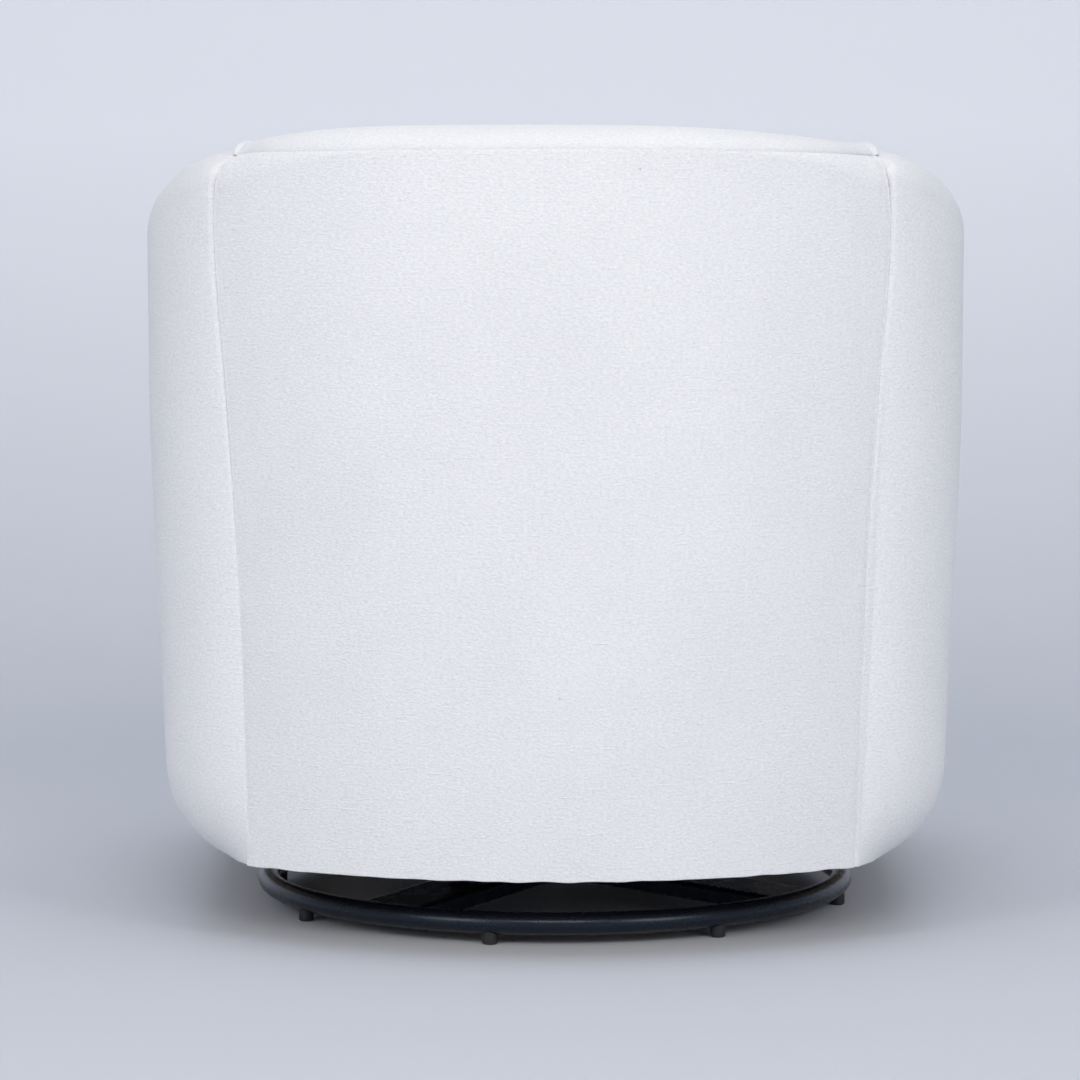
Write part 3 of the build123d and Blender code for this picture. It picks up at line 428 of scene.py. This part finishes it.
def back_surface(across, up):
    """Outside back: bowed between hem and top seam, tucked in where it is sewn, and drawn into a
    small pucker at each upper corner."""
    share = 2 * across - 1
    underlap = TOP_UNDERLAP + CORNER_UNDERLAP * ease((abs(share) - CORNER_FROM) / CORNER_RUN)
    z = hem_z + up * (top_seam_z(share) + underlap - hem_z)
    side = 1 if share > 0 else -1
    edge = SEAM_ANGLE + (SEAM_UNDERLAP + seam_sway(z, side) / cos(SEAM_ANGLE)) / BACK_RADIUS
    from_side = (1 - abs(share)) * half_back
    from_top = (1 - up) * (shoulder_z - hem_z)
    tuck = SIDE_TUCK * seam_pull(z) * near(from_side, SIDE_TUCK_WIDTH)
    tuck += TOP_TUCK * near(from_top, TOP_TUCK_WIDTH)
    hollow = HOLLOW * near(from_side, HOLLOW_WIDTH) * ease((up - HOLLOW_FROM) / HOLLOW_RISE)
    pucker = PUCKER - PUCKER_LESS_LEFT * side
    pucker *= near(from_side, PUCKER_WIDTH) * near(abs(from_top - PUCKER_BELOW_TOP), PUCKER_RUN)
    radius = back_radius_at(share, z) - tuck - hollow - pucker
    radius += slack(back_point(share * edge, BACK_RADIUS, z), BACK_SLACK)
    wave = noise.noise(Vector((share * BACK_HEM_WAVES, 0, 0)))
    hem_wave = HEM_WAVE * near(up, BACK_HEM_SHARE) * wave
    return back_point(share * edge, radius, z + hem_wave)


back_cloth = lay_cloth(columns=150, rows=150, size=(0.68, 0.69), surface=back_surface)
outside_back = new_piece("back_panel", back_cloth, woven_cloth, "seat", "outside_back")
back_with_wadding(outside_back, PANEL_WADDING)

# Arm covers. Each is one piece of cloth from the hem at the outside, over the round arm top and
# down the inside to the deck, wrapped round the back corner and sewn to the back panel. Over the
# shoulder it runs a little way inwards, to the end of the inside back.
WALL = 0.115
LOWER_TURN = 0.178
LOWER_TURN_IN = 0.014
CORNER_TUCK = 0.021
CORNER_TUCK_TURN = radians(135)
ARM_TUCK = 0.023
SHOULDER_FALL, SHOULDER_CURVE = 0.148, 1.3
CROWN_RUN = 0.84
SECTION_MARKS = (0.10, 0.50, 0.585, 0.67)
SECTION_STEP = 0.003
WALL_PART, WALL_PART_FADE = 0.525, 0.018
OVER_SHOULDER, SHOULDER_PART, SHOULDER_PART_RUN = 0.018, 0.535, 0.022
SEAM_BLEND = 0.15
ARM_PROUD, ARM_PROUD_WIDTH = 0.0005, 0.045
ARM_TURN_IN, ARM_TURN_WIDTH = 0.0003, 0.0040
CROWN_PULL = 0.15
FRONT_TUCK, FRONT_TUCK_WIDTH = 0.0040, 0.010
DIMPLE, DIMPLE_WIDTH, DIMPLE_PART, DIMPLE_SPAN = 0.0030, 0.012, 0.536, 0.014
ARM_HEM_SHARE, ARM_HEM_WAVES = 0.02, 30
ARM_SLACK = 0.0014
ABOVE_DECK = 0.001
side_low, side_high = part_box("arm_cover_left")
deck_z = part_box("deck_pad")[1].z
half_width = side_high.x
corner_radius = (half_width - BACK_RADIUS * sin(SEAM_ANGLE)) / (1 - sin(SEAM_ANGLE))
corner_x = half_width - corner_radius
corner_y = back_axis_y + (BACK_RADIUS - corner_radius) * cos(SEAM_ANGLE)
corner_turn = pi / 2 - SEAM_ANGLE
corner_length = corner_radius * corner_turn
arm_front_y = side_low.y
arm_front_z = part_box("arm_front_left")[1].z
side_length = corner_y - arm_front_y
arm_length = corner_length + side_length


def arm_station(reach):
    """Section of the arm at a distance from the back seam: its plan origin and outward direction, and
    its hem, lower turn, shoulder and crown."""
    if reach < corner_length:
        share = max(reach / corner_length, 0.0)
        angle = corner_turn * (1 - reach / corner_length)
        origin = Vector((corner_x, corner_y, 0))
        hem_in = BACK_LEAN + CORNER_TUCK * sin(CORNER_TUCK_TURN * share)
        fall = SHOULDER_FALL * share ** SHOULDER_CURVE
    else:
        share = 1.0
        angle = 0.0
        ahead = (reach - corner_length) / side_length
        origin = Vector((corner_x, corner_y - side_length * ahead, 0))
        corner_in = BACK_LEAN + CORNER_TUCK * sin(CORNER_TUCK_TURN)
        hem_in = ARM_TUCK + (corner_in - ARM_TUCK) * (1 - ahead) ** 2
        fall = SHOULDER_FALL + (1 - SHOULDER_FALL) * ahead
    low_in = LOWER_TURN_IN + (lean_at(LOWER_TURN) - LOWER_TURN_IN) * (1 - share) ** 2
    crown = SEAM_CROWN + (WALL / 2 - SEAM_CROWN) * ease(share / CROWN_RUN)
    top = shoulder_z - (shoulder_z - arm_front_z) * fall
    shoulder_in = lean_at(top - crown) * (1 - share) ** 2
    bow = SEAM_BOW + ((low_in - shoulder_in) / 4 - SEAM_BOW) * share
    return {
        "origin": origin, "out": Vector((cos(angle), sin(angle), 0)), "top": top, "crown": crown,
        "hem": corner_radius - hem_in, "low": corner_radius - low_in,
        "shoulder": corner_radius - shoulder_in, "bow": bow,
    }


def arm_section(station, round_arm):
    """Point of an arm section at a share of the way round it: distance out, and height."""
    top, crown, shoulder, low = station["top"], station["crown"], station["shoulder"], station["low"]
    turn_end, wall_end, crown_top, crown_end = SECTION_MARKS
    if round_arm < turn_end:
        share = round_arm / turn_end
        slope = (shoulder - low + 4 * station["bow"]) / (top - crown - LOWER_TURN)
        drop = (1 - share) * (LOWER_TURN - hem_z)
        rest = low - station["hem"] - slope * (LOWER_TURN - hem_z)
        return low - slope * drop - rest * (1 - share) ** 3, LOWER_TURN - drop
    if round_arm < wall_end:
        share = (round_arm - turn_end) / (wall_end - turn_end)
        bulge = 4 * station["bow"] * share * (1 - share)
        return low + (shoulder - low) * share + bulge, LOWER_TURN + (top - crown - LOWER_TURN) * share
    if round_arm < crown_top:
        turn = (round_arm - wall_end) / (crown_top - wall_end) * pi / 2
        return shoulder - crown + crown * cos(turn), top - crown + crown * sin(turn)
    inner = WALL - crown
    if round_arm < crown_end:
        turn = (round_arm - crown_top) / (crown_end - crown_top) * pi / 2
        return shoulder - crown - inner * sin(turn), top - inner + inner * cos(turn)
    share = (round_arm - crown_end) / (1 - crown_end)
    return shoulder - WALL, top - inner + (deck_z + ABOVE_DECK - top + inner) * share


def arm_surface(along, round_arm, side):
    """Outside of an arm cover, as on the left. Its edge at the back seam is rolled and stands proud."""
    from_seam = along * arm_length
    from_front = (1 - along) * arm_length
    near_seam = near(from_seam, SEAM_BLEND)
    on_wall = near(round_arm - WALL_PART, WALL_PART_FADE)
    z = arm_section(arm_station(from_seam), round_arm)[1]
    reach = from_seam + near_seam * on_wall * seam_sway(z, side) / cos(SEAM_ANGLE)
    reach -= near_seam * OVER_SHOULDER * ease((round_arm - SHOULDER_PART) / SHOULDER_PART_RUN)
    station = arm_station(reach)
    distance, z = arm_section(station, round_arm)
    ahead = arm_section(station, min(round_arm + SECTION_STEP, 1.0))
    behind = arm_section(station, max(round_arm - SECTION_STEP, 0.0))
    run = (Vector(ahead) - Vector(behind)).normalized()
    normal = station["out"] * run.y + Vector((0, 0, -run.x))
    point = station["origin"] + station["out"] * distance + Vector((0, 0, z))
    turned = near(from_seam, ARM_TURN_WIDTH)
    proud = ARM_PROUD * seam_pull(z) * on_wall * (1 - turned)
    proud *= near(from_seam - ARM_TURN_WIDTH, ARM_PROUD_WIDTH)
    tuck = ARM_TURN_IN * seam_pull(z) * (CROWN_PULL + (1 - CROWN_PULL) * on_wall) * turned
    tuck += FRONT_TUCK * near(from_front, FRONT_TUCK_WIDTH)
    dimple = DIMPLE * near(from_seam, DIMPLE_WIDTH) * near(abs(round_arm - DIMPLE_PART), DIMPLE_SPAN)
    wave = noise.noise(Vector((from_seam * ARM_HEM_WAVES, 3, 0)))
    hem_wave = HEM_WAVE * near(round_arm, ARM_HEM_SHARE) * wave
    lift = proud - tuck - dimple + slack(point, ARM_SLACK)
    return point + normal * lift + Vector((0, 0, hem_wave))


def turn_right(shape):
    """Make a left piece a right one."""
    bmesh.ops.transform(shape, matrix=Matrix.Scale(-1, 4, (1, 0, 0)), verts=shape.verts)
    bmesh.ops.reverse_faces(shape, faces=shape.faces)


for name, side in (("left", 1), ("right", -1)):
    arm_cloth = lay_cloth(
        columns=150, rows=190, size=(0.73, 1.25), surface=lambda along, up: arm_surface(along, up, side)
    )
    if side < 0:
        turn_right(arm_cloth)
    arm_wrap = new_piece(
        f"arm_wrap_{name}", arm_cloth, woven_cloth, "seat", f"arm_cover_{name}"
    )
    back_with_wadding(arm_wrap, PANEL_WADDING)

# Inside back. A thicker pad of foam and cloth from the deck up the curve of the back, whose cloth
# rolls over the top edge, is sewn to the outside back behind and ends in a rolled welt at each side.
INSIDE_PROUD = 0.013
INSIDE_LEAN = 0.018
INSIDE_END_SHARE = 0.985
ROLL_MARKS = (0.10, 0.26)
ROLL_STEP = 0.004
ROLL_DROP = 0.039
WELT, WELT_WIDTH, WELT_EDGE = 0.0024, 0.004, 0.003
WELT_FADE_FROM, WELT_FADE_RUN = 0.2, 0.2
WELT_GROOVE, WELT_GROOVE_WIDTH = 0.0008, 0.006
END_ROLL, END_ROLL_WIDTH = 0.0060, 0.005
INSIDE_SWELL, INSIDE_SWELL_WIDTH, INSIDE_SWELL_CURVE = 0.007, 0.05, 0.7
INSIDE_TUCK, INSIDE_TUCK_WIDTH = 0.0004, 0.010
seat_back_radius = BACK_RADIUS - WALL - INSIDE_PROUD
roll_z = shoulder_z - ROLL_DROP


def inside_section(share, down):
    """Point of the inside back's section at a share of its half width: radius and height."""
    crest, top = crest_at(share)
    seam_z = top_seam_z(min(abs(share), CORNER_SHARE))
    rear = back_radius_at(share, seam_z)
    front = seat_back_radius + INSIDE_LEAN
    if down < ROLL_MARKS[0]:
        turn = down / ROLL_MARKS[0] * pi / 2
        return crest + (rear - crest) * cos(turn), seam_z + (top - seam_z) * sin(turn)
    if down < ROLL_MARKS[1]:
        turn = (down - ROLL_MARKS[0]) / (ROLL_MARKS[1] - ROLL_MARKS[0]) * pi / 2
        return crest + (front - crest) * sin(turn), roll_z + (top - roll_z) * cos(turn)
    fall = (down - ROLL_MARKS[1]) / (1 - ROLL_MARKS[1])
    return front - INSIDE_LEAN * fall, roll_z + (deck_z + ABOVE_DECK - roll_z) * fall


def inside_surface(across, down):
    """Inside back from its seam behind, over the rolled top and down to the deck."""
    share = (2 * across - 1) * INSIDE_END_SHARE
    radius, z = inside_section(share, down)
    ahead = inside_section(share, min(down + ROLL_STEP, 1.0))
    behind = inside_section(share, max(down - ROLL_STEP, 0.0))
    run = (Vector(ahead) - Vector(behind)).normalized()
    from_end = (1 - abs(2 * across - 1)) * half_back
    welt = WELT * near(from_end - WELT_WIDTH, WELT_EDGE)
    welt -= WELT_GROOVE * near(abs(from_end - 2 * WELT_WIDTH), WELT_GROOVE_WIDTH)
    welt *= near(down - WELT_FADE_FROM, WELT_FADE_RUN)
    end_roll = END_ROLL * (1 - sqrt(1 - (1 - min(from_end / END_ROLL_WIDTH, 1)) ** 2))
    front_share = min(max((down - ROLL_MARKS[1]) / (1 - ROLL_MARKS[1]), 0), 1)
    swell = INSIDE_SWELL * ease(from_end / INSIDE_SWELL_WIDTH)
    swell *= sin(pi * front_share) ** INSIDE_SWELL_CURVE
    seam = INSIDE_TUCK * near(down, INSIDE_TUCK_WIDTH)
    point = back_point(share * SEAM_ANGLE, radius, z)
    lift = welt - end_roll - seam + swell + slack(point, BACK_SLACK)
    return back_point(share * SEAM_ANGLE, radius + lift * run.y, z - lift * run.x)


inside_cloth = lay_cloth(columns=170, rows=110, size=(0.68, 0.62), surface=inside_surface)
inside_back = new_piece(
    "inside_back_pad", inside_cloth, woven_cloth, "seat", "inside_back"
)
back_with_wadding(inside_back, PANEL_WADDING)

# Arm fronts. A padded panel closes the front of each arm, drawn in round its edge where it is
# sewn to the arm cover.
ARM_END_STEPS = (0, 0.012, 0.03, 0.06, 0.1, 0.16, 0.24, 0.34, 0.46, 0.6, 0.75, 0.9)
ARM_END_EDGE, ARM_END_CURVE = 0.30, 2.6
SPINE_ABOVE_HEM = 0.04
OVER_STEPS, DOWN_STEPS, HEM_STEPS = 90, 40, 10


def arm_end_outline():
    """Outline of the left arm's end: up the outside, over the crown, down the inside, along the hem."""
    station = arm_station(arm_length)
    outline = []
    for step in range(OVER_STEPS + 1):
        distance, z = arm_section(station, SECTION_MARKS[3] * step / OVER_STEPS)
        outline.append((corner_x + distance, z))
    hem_x, (inner_x, crown_z) = outline[0][0], outline[-1]
    for step in range(1, DOWN_STEPS + 1):
        outline.append((inner_x, crown_z + (hem_z - crown_z) * step / DOWN_STEPS))
    for step in range(1, HEM_STEPS):
        outline.append((inner_x + (hem_x - inner_x) * step / HEM_STEPS, hem_z))
    return outline


def arm_end_shape():
    """Left arm front: the sewn outline, raised step by step to the middle line of the panel."""
    shape = bmesh.new()
    weave = shape.loops.layers.uv.new("weave")
    outline = arm_end_outline()
    reach = arm_front_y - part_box("arm_front_left")[0].y
    middle_x = half_width - WALL / 2
    sewn = [shape.verts.new((x, arm_front_y, z)) for x, z in outline]
    panel = shape.faces.new(sewn)
    for inward in ARM_END_STEPS:
        swell = sqrt(1 - (1 - inward / ARM_END_STEPS[-1]) ** ARM_END_CURVE)
        push = reach * (ARM_END_EDGE + (1 - ARM_END_EDGE) * swell)
        panel = bmesh.ops.extrude_discrete_faces(shape, faces=[panel])["faces"][0]
        for vert, (x, z) in zip(panel.verts, outline):
            spine_z = min(max(z, hem_z + SPINE_ABOVE_HEM), arm_front_z - WALL / 2)
            place = Vector((x, 0, z)).lerp(Vector((middle_x, 0, spine_z)), inward)
            vert.co = (place.x, arm_front_y - push, place.z)
    shape.faces.new(sewn)
    for face in shape.faces:
        for loop in face.loops:
            loop[weave].uv = (loop.vert.co.x + loop.vert.co.y, loop.vert.co.z)
    bmesh.ops.recalc_face_normals(shape, faces=shape.faces)
    return shape


for name, side in (("left", 1), ("right", -1)):
    arm_end = arm_end_shape()
    if side < 0:
        turn_right(arm_end)
    arm_end_piece = new_piece(
        f"arm_end_{name}", arm_end, woven_cloth, "seat", f"arm_front_{name}"
    )

# Deck and dust cover. A black felted pad lies over the webbing under the cushion, and a thin black cloth
# is stapled below the rails to keep dust out of the seat.
deck_cloth = strap_cloth("deck_cloth", (0.015, 0.015, 0.017), (0.045, 0.045, 0.05), 300)


def seat_plan(low, high):
    """A level surface across the seat, from the front to the round of the back."""
    radius = high.y - back_axis_y

    def surface(across, along):
        x = low.x + (high.x - low.x) * across
        back = back_axis_y + sqrt(radius ** 2 - x ** 2)
        return Vector((x, low.y + (back - low.y) * along, low.z))

    return surface


deck_low, deck_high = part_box("deck_pad")
deck_cut = (deck_high.x - deck_low.x, deck_high.y - deck_low.y)
deck = lay_cloth(columns=56, rows=64, size=deck_cut, surface=seat_plan(deck_low, deck_high))
seat_deck = new_piece("seat_deck", deck, deck_cloth, "seat", "deck_pad")
back_with_wadding(seat_deck, deck_high.z - deck_low.z)
dust_low, dust_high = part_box("dust_cover")
dust_cut = (dust_high.x - dust_low.x, dust_high.y - dust_low.y)
dust = lay_cloth(columns=48, rows=48, size=dust_cut, surface=seat_plan(dust_low, dust_high))
dust_area = sum(face.calc_area() for face in dust.faces)
dust_sheet = new_piece("dust_sheet", dust, deck_cloth, "seat", "dust_cover")
back_with_wadding(dust_sheet, dust_high.z - dust_low.z)

# Front border. A padded strip of the same cloth closes the front below the cushion, between the arm
# fronts. Its long edges roll back over the wadding, and its ends are tucked in.
BORDER_WADDING = 0.012
BORDER_CUTS = 48
END_DRAW, END_DRAW_WIDTH = 0.003, 0.008
EDGE_DRAW, EDGE_DRAW_WIDTH = 0.014, 0.022
MOST_DRAW = 0.016
PAD_SLACK = 0.0012
border_low, border_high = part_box("front_cover")
border_low.y -= BORDER_WADDING
border_size = border_high - border_low
border_middle = (border_low + border_high) / 2
border = bmesh.new()
border_weave = border.loops.layers.uv.new("weave")
bmesh.ops.create_cube(
    border, size=1.0, matrix=Matrix.Translation(border_middle) @ Matrix.Diagonal((*border_size, 1))
)
bmesh.ops.subdivide_edges(border, edges=border.edges, cuts=BORDER_CUTS, use_grid_fill=True)
for vert in border.verts:
    from_end = border_size.x / 2 - abs(vert.co.x)
    from_edge = border_size.z / 2 - abs(vert.co.z - border_middle.z)
    depth = (border_high.y - vert.co.y) / border_size.y
    draw = END_DRAW * near(from_end, END_DRAW_WIDTH) + EDGE_DRAW * near(from_edge, EDGE_DRAW_WIDTH)
    vert.co.y += depth * (min(draw, MOST_DRAW) + slack(vert.co, PAD_SLACK))
for face in border.faces:
    for loop in face.loops:
        loop[border_weave].uv = (loop.vert.co.x, loop.vert.co.z + loop.vert.co.y)
front_border = new_piece("front_border", border, woven_cloth, "seat", "front_cover")

# Seat cushion. A loose box cushion of foam in wadding: a crowned top and a band round the sides, sewn
# together at two edges, and a flat underside on the deck. The cloth is blown up between its seams.
CUSHION_BACK_RADIUS = 0.427
CUSHION_SMALLER = 0.006
CUSHION_SEAMS = (0.0148, 0.1095)
CUSHION_CROWN = 0.034
CROWN_REACH = 0.032
UNDERSIDE_REACH = 0.012
UNDERSIDE_GAP = 0.0005
SEAM_EDGE = 0.002
SEAM_DRAW, SEAM_DRAW_WIDTH = 0.0026, 0.006
MOST_SWELL = 0.008
SIDE_ROOM = 0.003
CUSHION_VOXEL = 0.008
HELD_WIDTH = 0.6 * CUSHION_VOXEL
SEAM_POINTS = 240
BACK_STEPS = 40
CORNER_ROUNDS = 14
BLOW_PRESSURE = 4
BLOW_FRAMES = 20
LEVEL_ENOUGH = 0.6
cushion_low, cushion_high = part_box("seat_cushion")


def cushion_outline():
    """Plan of the cushion's seams: straight front and sides, a round back and soft corners."""
    half = cushion_high.x - CUSHION_SMALLER
    front = cushion_low.y + CUSHION_SMALLER
    radius = CUSHION_BACK_RADIUS - CUSHION_SMALLER
    turn = asin(half / radius)
    corners = [Vector((-half, front)), Vector((half, front))]
    for step in range(BACK_STEPS + 1):
        angle = turn - 2 * turn * step / BACK_STEPS
        corners.append(Vector((radius * sin(angle), back_axis_y + radius * cos(angle))))
    lengths = [(b - a).length for a, b in zip(corners, corners[1:] + corners[:1])]
    points = []
    for index in range(SEAM_POINTS):
        place = sum(lengths) * index / SEAM_POINTS
        side = 0
        while place > lengths[side]:
            place -= lengths[side]
            side += 1
        points.append(corners[side].lerp(corners[(side + 1) % len(corners)], place / lengths[side]))
    for _ in range(CORNER_ROUNDS):
        before, after = points[-1:] + points[:-1], points[1:] + points[:1]
        points = [(a + b * 2 + c) / 4 for a, b, c in zip(before, points, after)]
    return points


seam_low, seam_high = (cushion_low.z + height for height in CUSHION_SEAMS)
block = bmesh.new()
lower_seam = [block.verts.new((point.x, point.y, seam_low)) for point in cushion_outline()]
top = bmesh.ops.extrude_discrete_faces(block, faces=[block.faces.new(lower_seam)])["faces"][0]
for vert in top.verts:
    vert.co.z = seam_high
block.faces.new(lower_seam)
bmesh.ops.recalc_face_normals(block, faces=block.faces)
seams = KDTree(len(block.verts))
for index, vert in enumerate(block.verts):
    seams.insert(vert.co, index)
seams.balance()
seat_pad = new_piece("seat_pad", block, woven_cloth, "seat", "seat_cushion")


def settle(piece):
    """Apply a piece's modifiers to its mesh."""
    bpy.context.view_layer.update()
    shaped = piece.evaluated_get(bpy.context.evaluated_depsgraph_get())
    mesh = bpy.data.meshes.new_from_object(shaped)
    piece.modifiers.clear()
    piece.data = mesh
    return mesh


even = seat_pad.modifiers.new("even", "REMESH")
even.mode = "VOXEL"
even.voxel_size = CUSHION_VOXEL
even.use_smooth_shade = True
pad_mesh = settle(seat_pad)
held = seat_pad.vertex_groups.new(name="seams")
for vert in pad_mesh.vertices:
    distance = max(seams.find(vert.co)[2] - SEAM_EDGE, 0)
    if vert.co.z > seam_high - SEAM_EDGE:
        vert.co.z += CUSHION_CROWN * (1 - exp(-distance / CROWN_REACH))
    elif vert.co.z < seam_low + SEAM_EDGE:
        vert.co.z -= (CUSHION_SEAMS[0] - UNDERSIDE_GAP) * (1 - exp(-distance / UNDERSIDE_REACH))
start = [vert.co.copy() for vert in pad_mesh.vertices]
for vert in pad_mesh.vertices:
    held.add([vert.index], 1.0 if seams.find(vert.co)[2] < HELD_WIDTH else 0.0, "REPLACE")
cloth = seat_pad.modifiers.new("cloth", "CLOTH")
cloth.settings.vertex_group_mass = "seams"
cloth.settings.use_pressure = True
cloth.settings.uniform_pressure_force = BLOW_PRESSURE
cloth.settings.effector_weights.gravity = 0
for step in range(1, BLOW_FRAMES + 1):
    bpy.context.scene.frame_set(step)
pad_mesh = settle(seat_pad)
bpy.context.scene.frame_set(1)
for vert, was in zip(pad_mesh.vertices, start):
    move = vert.co - was
    if move.length > MOST_SWELL:
        vert.co = was + move * (MOST_SWELL / move.length)
    vert.co.z = max(vert.co.z, cushion_low.z + UNDERSIDE_GAP)
    vert.co.x = min(max(vert.co.x, cushion_low.x - SIDE_ROOM), cushion_high.x + SIDE_ROOM)
finer = seat_pad.modifiers.new("finer", "SUBSURF")
finer.levels = finer.render_levels = 1
pad_mesh = settle(seat_pad)
outward = [vert.normal.copy() for vert in pad_mesh.vertices]
for vert, normal in zip(pad_mesh.vertices, outward):
    drawn_in = SEAM_DRAW * near(seams.find(vert.co)[2], SEAM_DRAW_WIDTH)
    vert.co -= normal * (drawn_in - slack(vert.co, PAD_SLACK))
    vert.co.z = max(vert.co.z, cushion_low.z)
cushion_weave = pad_mesh.uv_layers.new(name="weave")
for polygon in pad_mesh.polygons:
    level = abs(polygon.normal.z) > LEVEL_ENOUGH
    for index in polygon.loop_indices:
        place = pad_mesh.vertices[pad_mesh.loops[index].vertex_index].co
        cushion_weave.data[index].uv = (place.x, place.y) if level else (place.x + place.y, place.z)

# Studio. A pale floor and a wall with a coved foot, whose back lets the eye through. A large soft lamp
# stands at each side of the camera, with others above, behind the camera and in front of the seat.
STUDIO_HALF = 9.0
WALL_FOOT_Y, WALL_TOP = -1.2, 7
COVE_RADIUS, COVE_STEPS = 1.0, 12
studio_paper, paper_shade, paper_feed = new_finish("studio_paper", Roughness=0.9)
paper_place = paper_shade.make("ShaderNodeTexCoord", out="Object")
paper_tone = paper_shade.noise(paper_place, 0.8, 2)
paper_height = paper_shade.make("ShaderNodeSeparateXYZ", inputs={0: paper_place}, out="Z")
wall_stops = {"stops": [(0.0, 0.0), (0.8, 1.0)]}
paper_wall = paper_shade.make("ShaderNodeValToRGB", wall_stops, {"Fac": paper_height})
floor_colour = paper_shade.blend(paper_tone, (0.60, 0.62, 0.67, 1), (0.63, 0.645, 0.69, 1))
paper_feed("Base Color", paper_shade.blend(paper_wall, floor_colour, (0.88, 0.90, 0.945, 1)))
paper_feed("Alpha", 1 - paper_shade.make("ShaderNodeNewGeometry", out="Backfacing"))


def stage_sheet(name, line):
    """Part of the studio: a line in the plane of Y and Z, drawn out along X."""
    sheet = bmesh.new()
    points = [sheet.verts.new((-STUDIO_HALF, y, z)) for y, z in line]
    spine = [sheet.edges.new(pair) for pair in zip(points, points[1:])]
    sides = bmesh.ops.extrude_edge_only(sheet, edges=spine)
    moved = [item for item in sides["geom"] if isinstance(item, bmesh.types.BMVert)]
    bmesh.ops.translate(sheet, vec=(2 * STUDIO_HALF, 0, 0), verts=moved)
    bmesh.ops.recalc_face_normals(sheet, faces=sheet.faces)
    if sum(face.normal.z + face.normal.y for face in sheet.faces) < 0:
        bmesh.ops.reverse_faces(sheet, faces=sheet.faces)
    mesh = bpy.data.meshes.new(name)
    sheet.to_mesh(mesh)
    sheet.free()
    mesh.materials.append(studio_paper)
    mesh.polygons.foreach_set("use_smooth", [True] * len(mesh.polygons))
    stage = bpy.data.objects.new(name, mesh)
    bpy.context.scene.collection.objects.link(stage)


cove = [radians(90 * step / COVE_STEPS) for step in range(COVE_STEPS + 1)]
wall_line = [(WALL_FOOT_Y - COVE_RADIUS * sin(turn), COVE_RADIUS * (1 - cos(turn))) for turn in cove]
stage_sheet("studio_floor", [(STUDIO_HALF, 0), (-STUDIO_HALF, 0)])
stage_sheet("studio_wall", wall_line + [(WALL_FOOT_Y - COVE_RADIUS, WALL_TOP)])


def soft_lamp(name, place, aim, size, watts, colour):
    """Large rectangular soft lamp at a place, turned to a point."""
    lamp = bpy.data.lights.new(name, "AREA")
    lamp.shape = "RECTANGLE"
    lamp.size, lamp.size_y = size
    lamp.energy = watts
    lamp.color = colour
    holder = bpy.data.objects.new(name, lamp)
    bpy.context.scene.collection.objects.link(holder)
    holder.location = place
    holder.rotation_euler = (Vector(aim) - Vector(place)).to_track_quat("-Z", "Y").to_euler()


for name, side in (("left", 1), ("right", -1)):
    soft_lamp(
        f"side_lamp_{name}", place=(side * 2.6, 3.2, 2.0), aim=(0, 0, 0.45), size=(1.6, 2.4),
        watts=46, colour=(1.0, 0.98, 0.955),
    )
soft_lamp(
    "front_lamp", place=(0, 4.6, 2.9), aim=(0, 0, 0.5), size=(2.6, 1.4),
    watts=57, colour=(1.0, 0.975, 0.945),
)
soft_lamp(
    "top_lamp", place=(0, 0.2, 3.4), aim=(0, 0, 0.4), size=(3.0, 3.0),
    watts=28, colour=(1.0, 0.985, 0.97),
)
soft_lamp(
    "seat_lamp", place=(1.2, -3.6, 2.6), aim=(0, 0, 0.4), size=(2.4, 1.8),
    watts=60, colour=(1.0, 0.985, 0.97),
)
air = bpy.data.worlds.new("studio_air")
bpy.context.scene.world = air
air.use_nodes = True
air_light = air.node_tree.nodes["Background"].inputs
air_light["Color"].default_value = (0.75, 0.84, 1.0, 1)
air_light["Strength"].default_value = 0.38

# Camera. It stands behind the chair, a little below the height of the back, with a long lens tilted
# slightly down.
PHOTO_WIDTH = 1080
FOCAL_PIXELS = 4312
HORIZON_ABOVE_CENTRE = 379
SENSOR_WIDTH = 36
CAMERA_PLACE = (0.0153, 4.4, 0.754)
camera_data = bpy.data.cameras.new("camera")
camera_data.sensor_width = SENSOR_WIDTH
camera_data.lens = SENSOR_WIDTH * FOCAL_PIXELS / PHOTO_WIDTH
camera = bpy.data.objects.new("camera", camera_data)
bpy.context.scene.collection.objects.link(camera)
camera.location = CAMERA_PLACE
tilt = HORIZON_ABOVE_CENTRE / FOCAL_PIXELS
camera.rotation_euler = (pi / 2 - tilt, 0, pi)
bpy.context.scene.camera = camera
bpy.context.scene.view_settings.view_transform = "Standard"
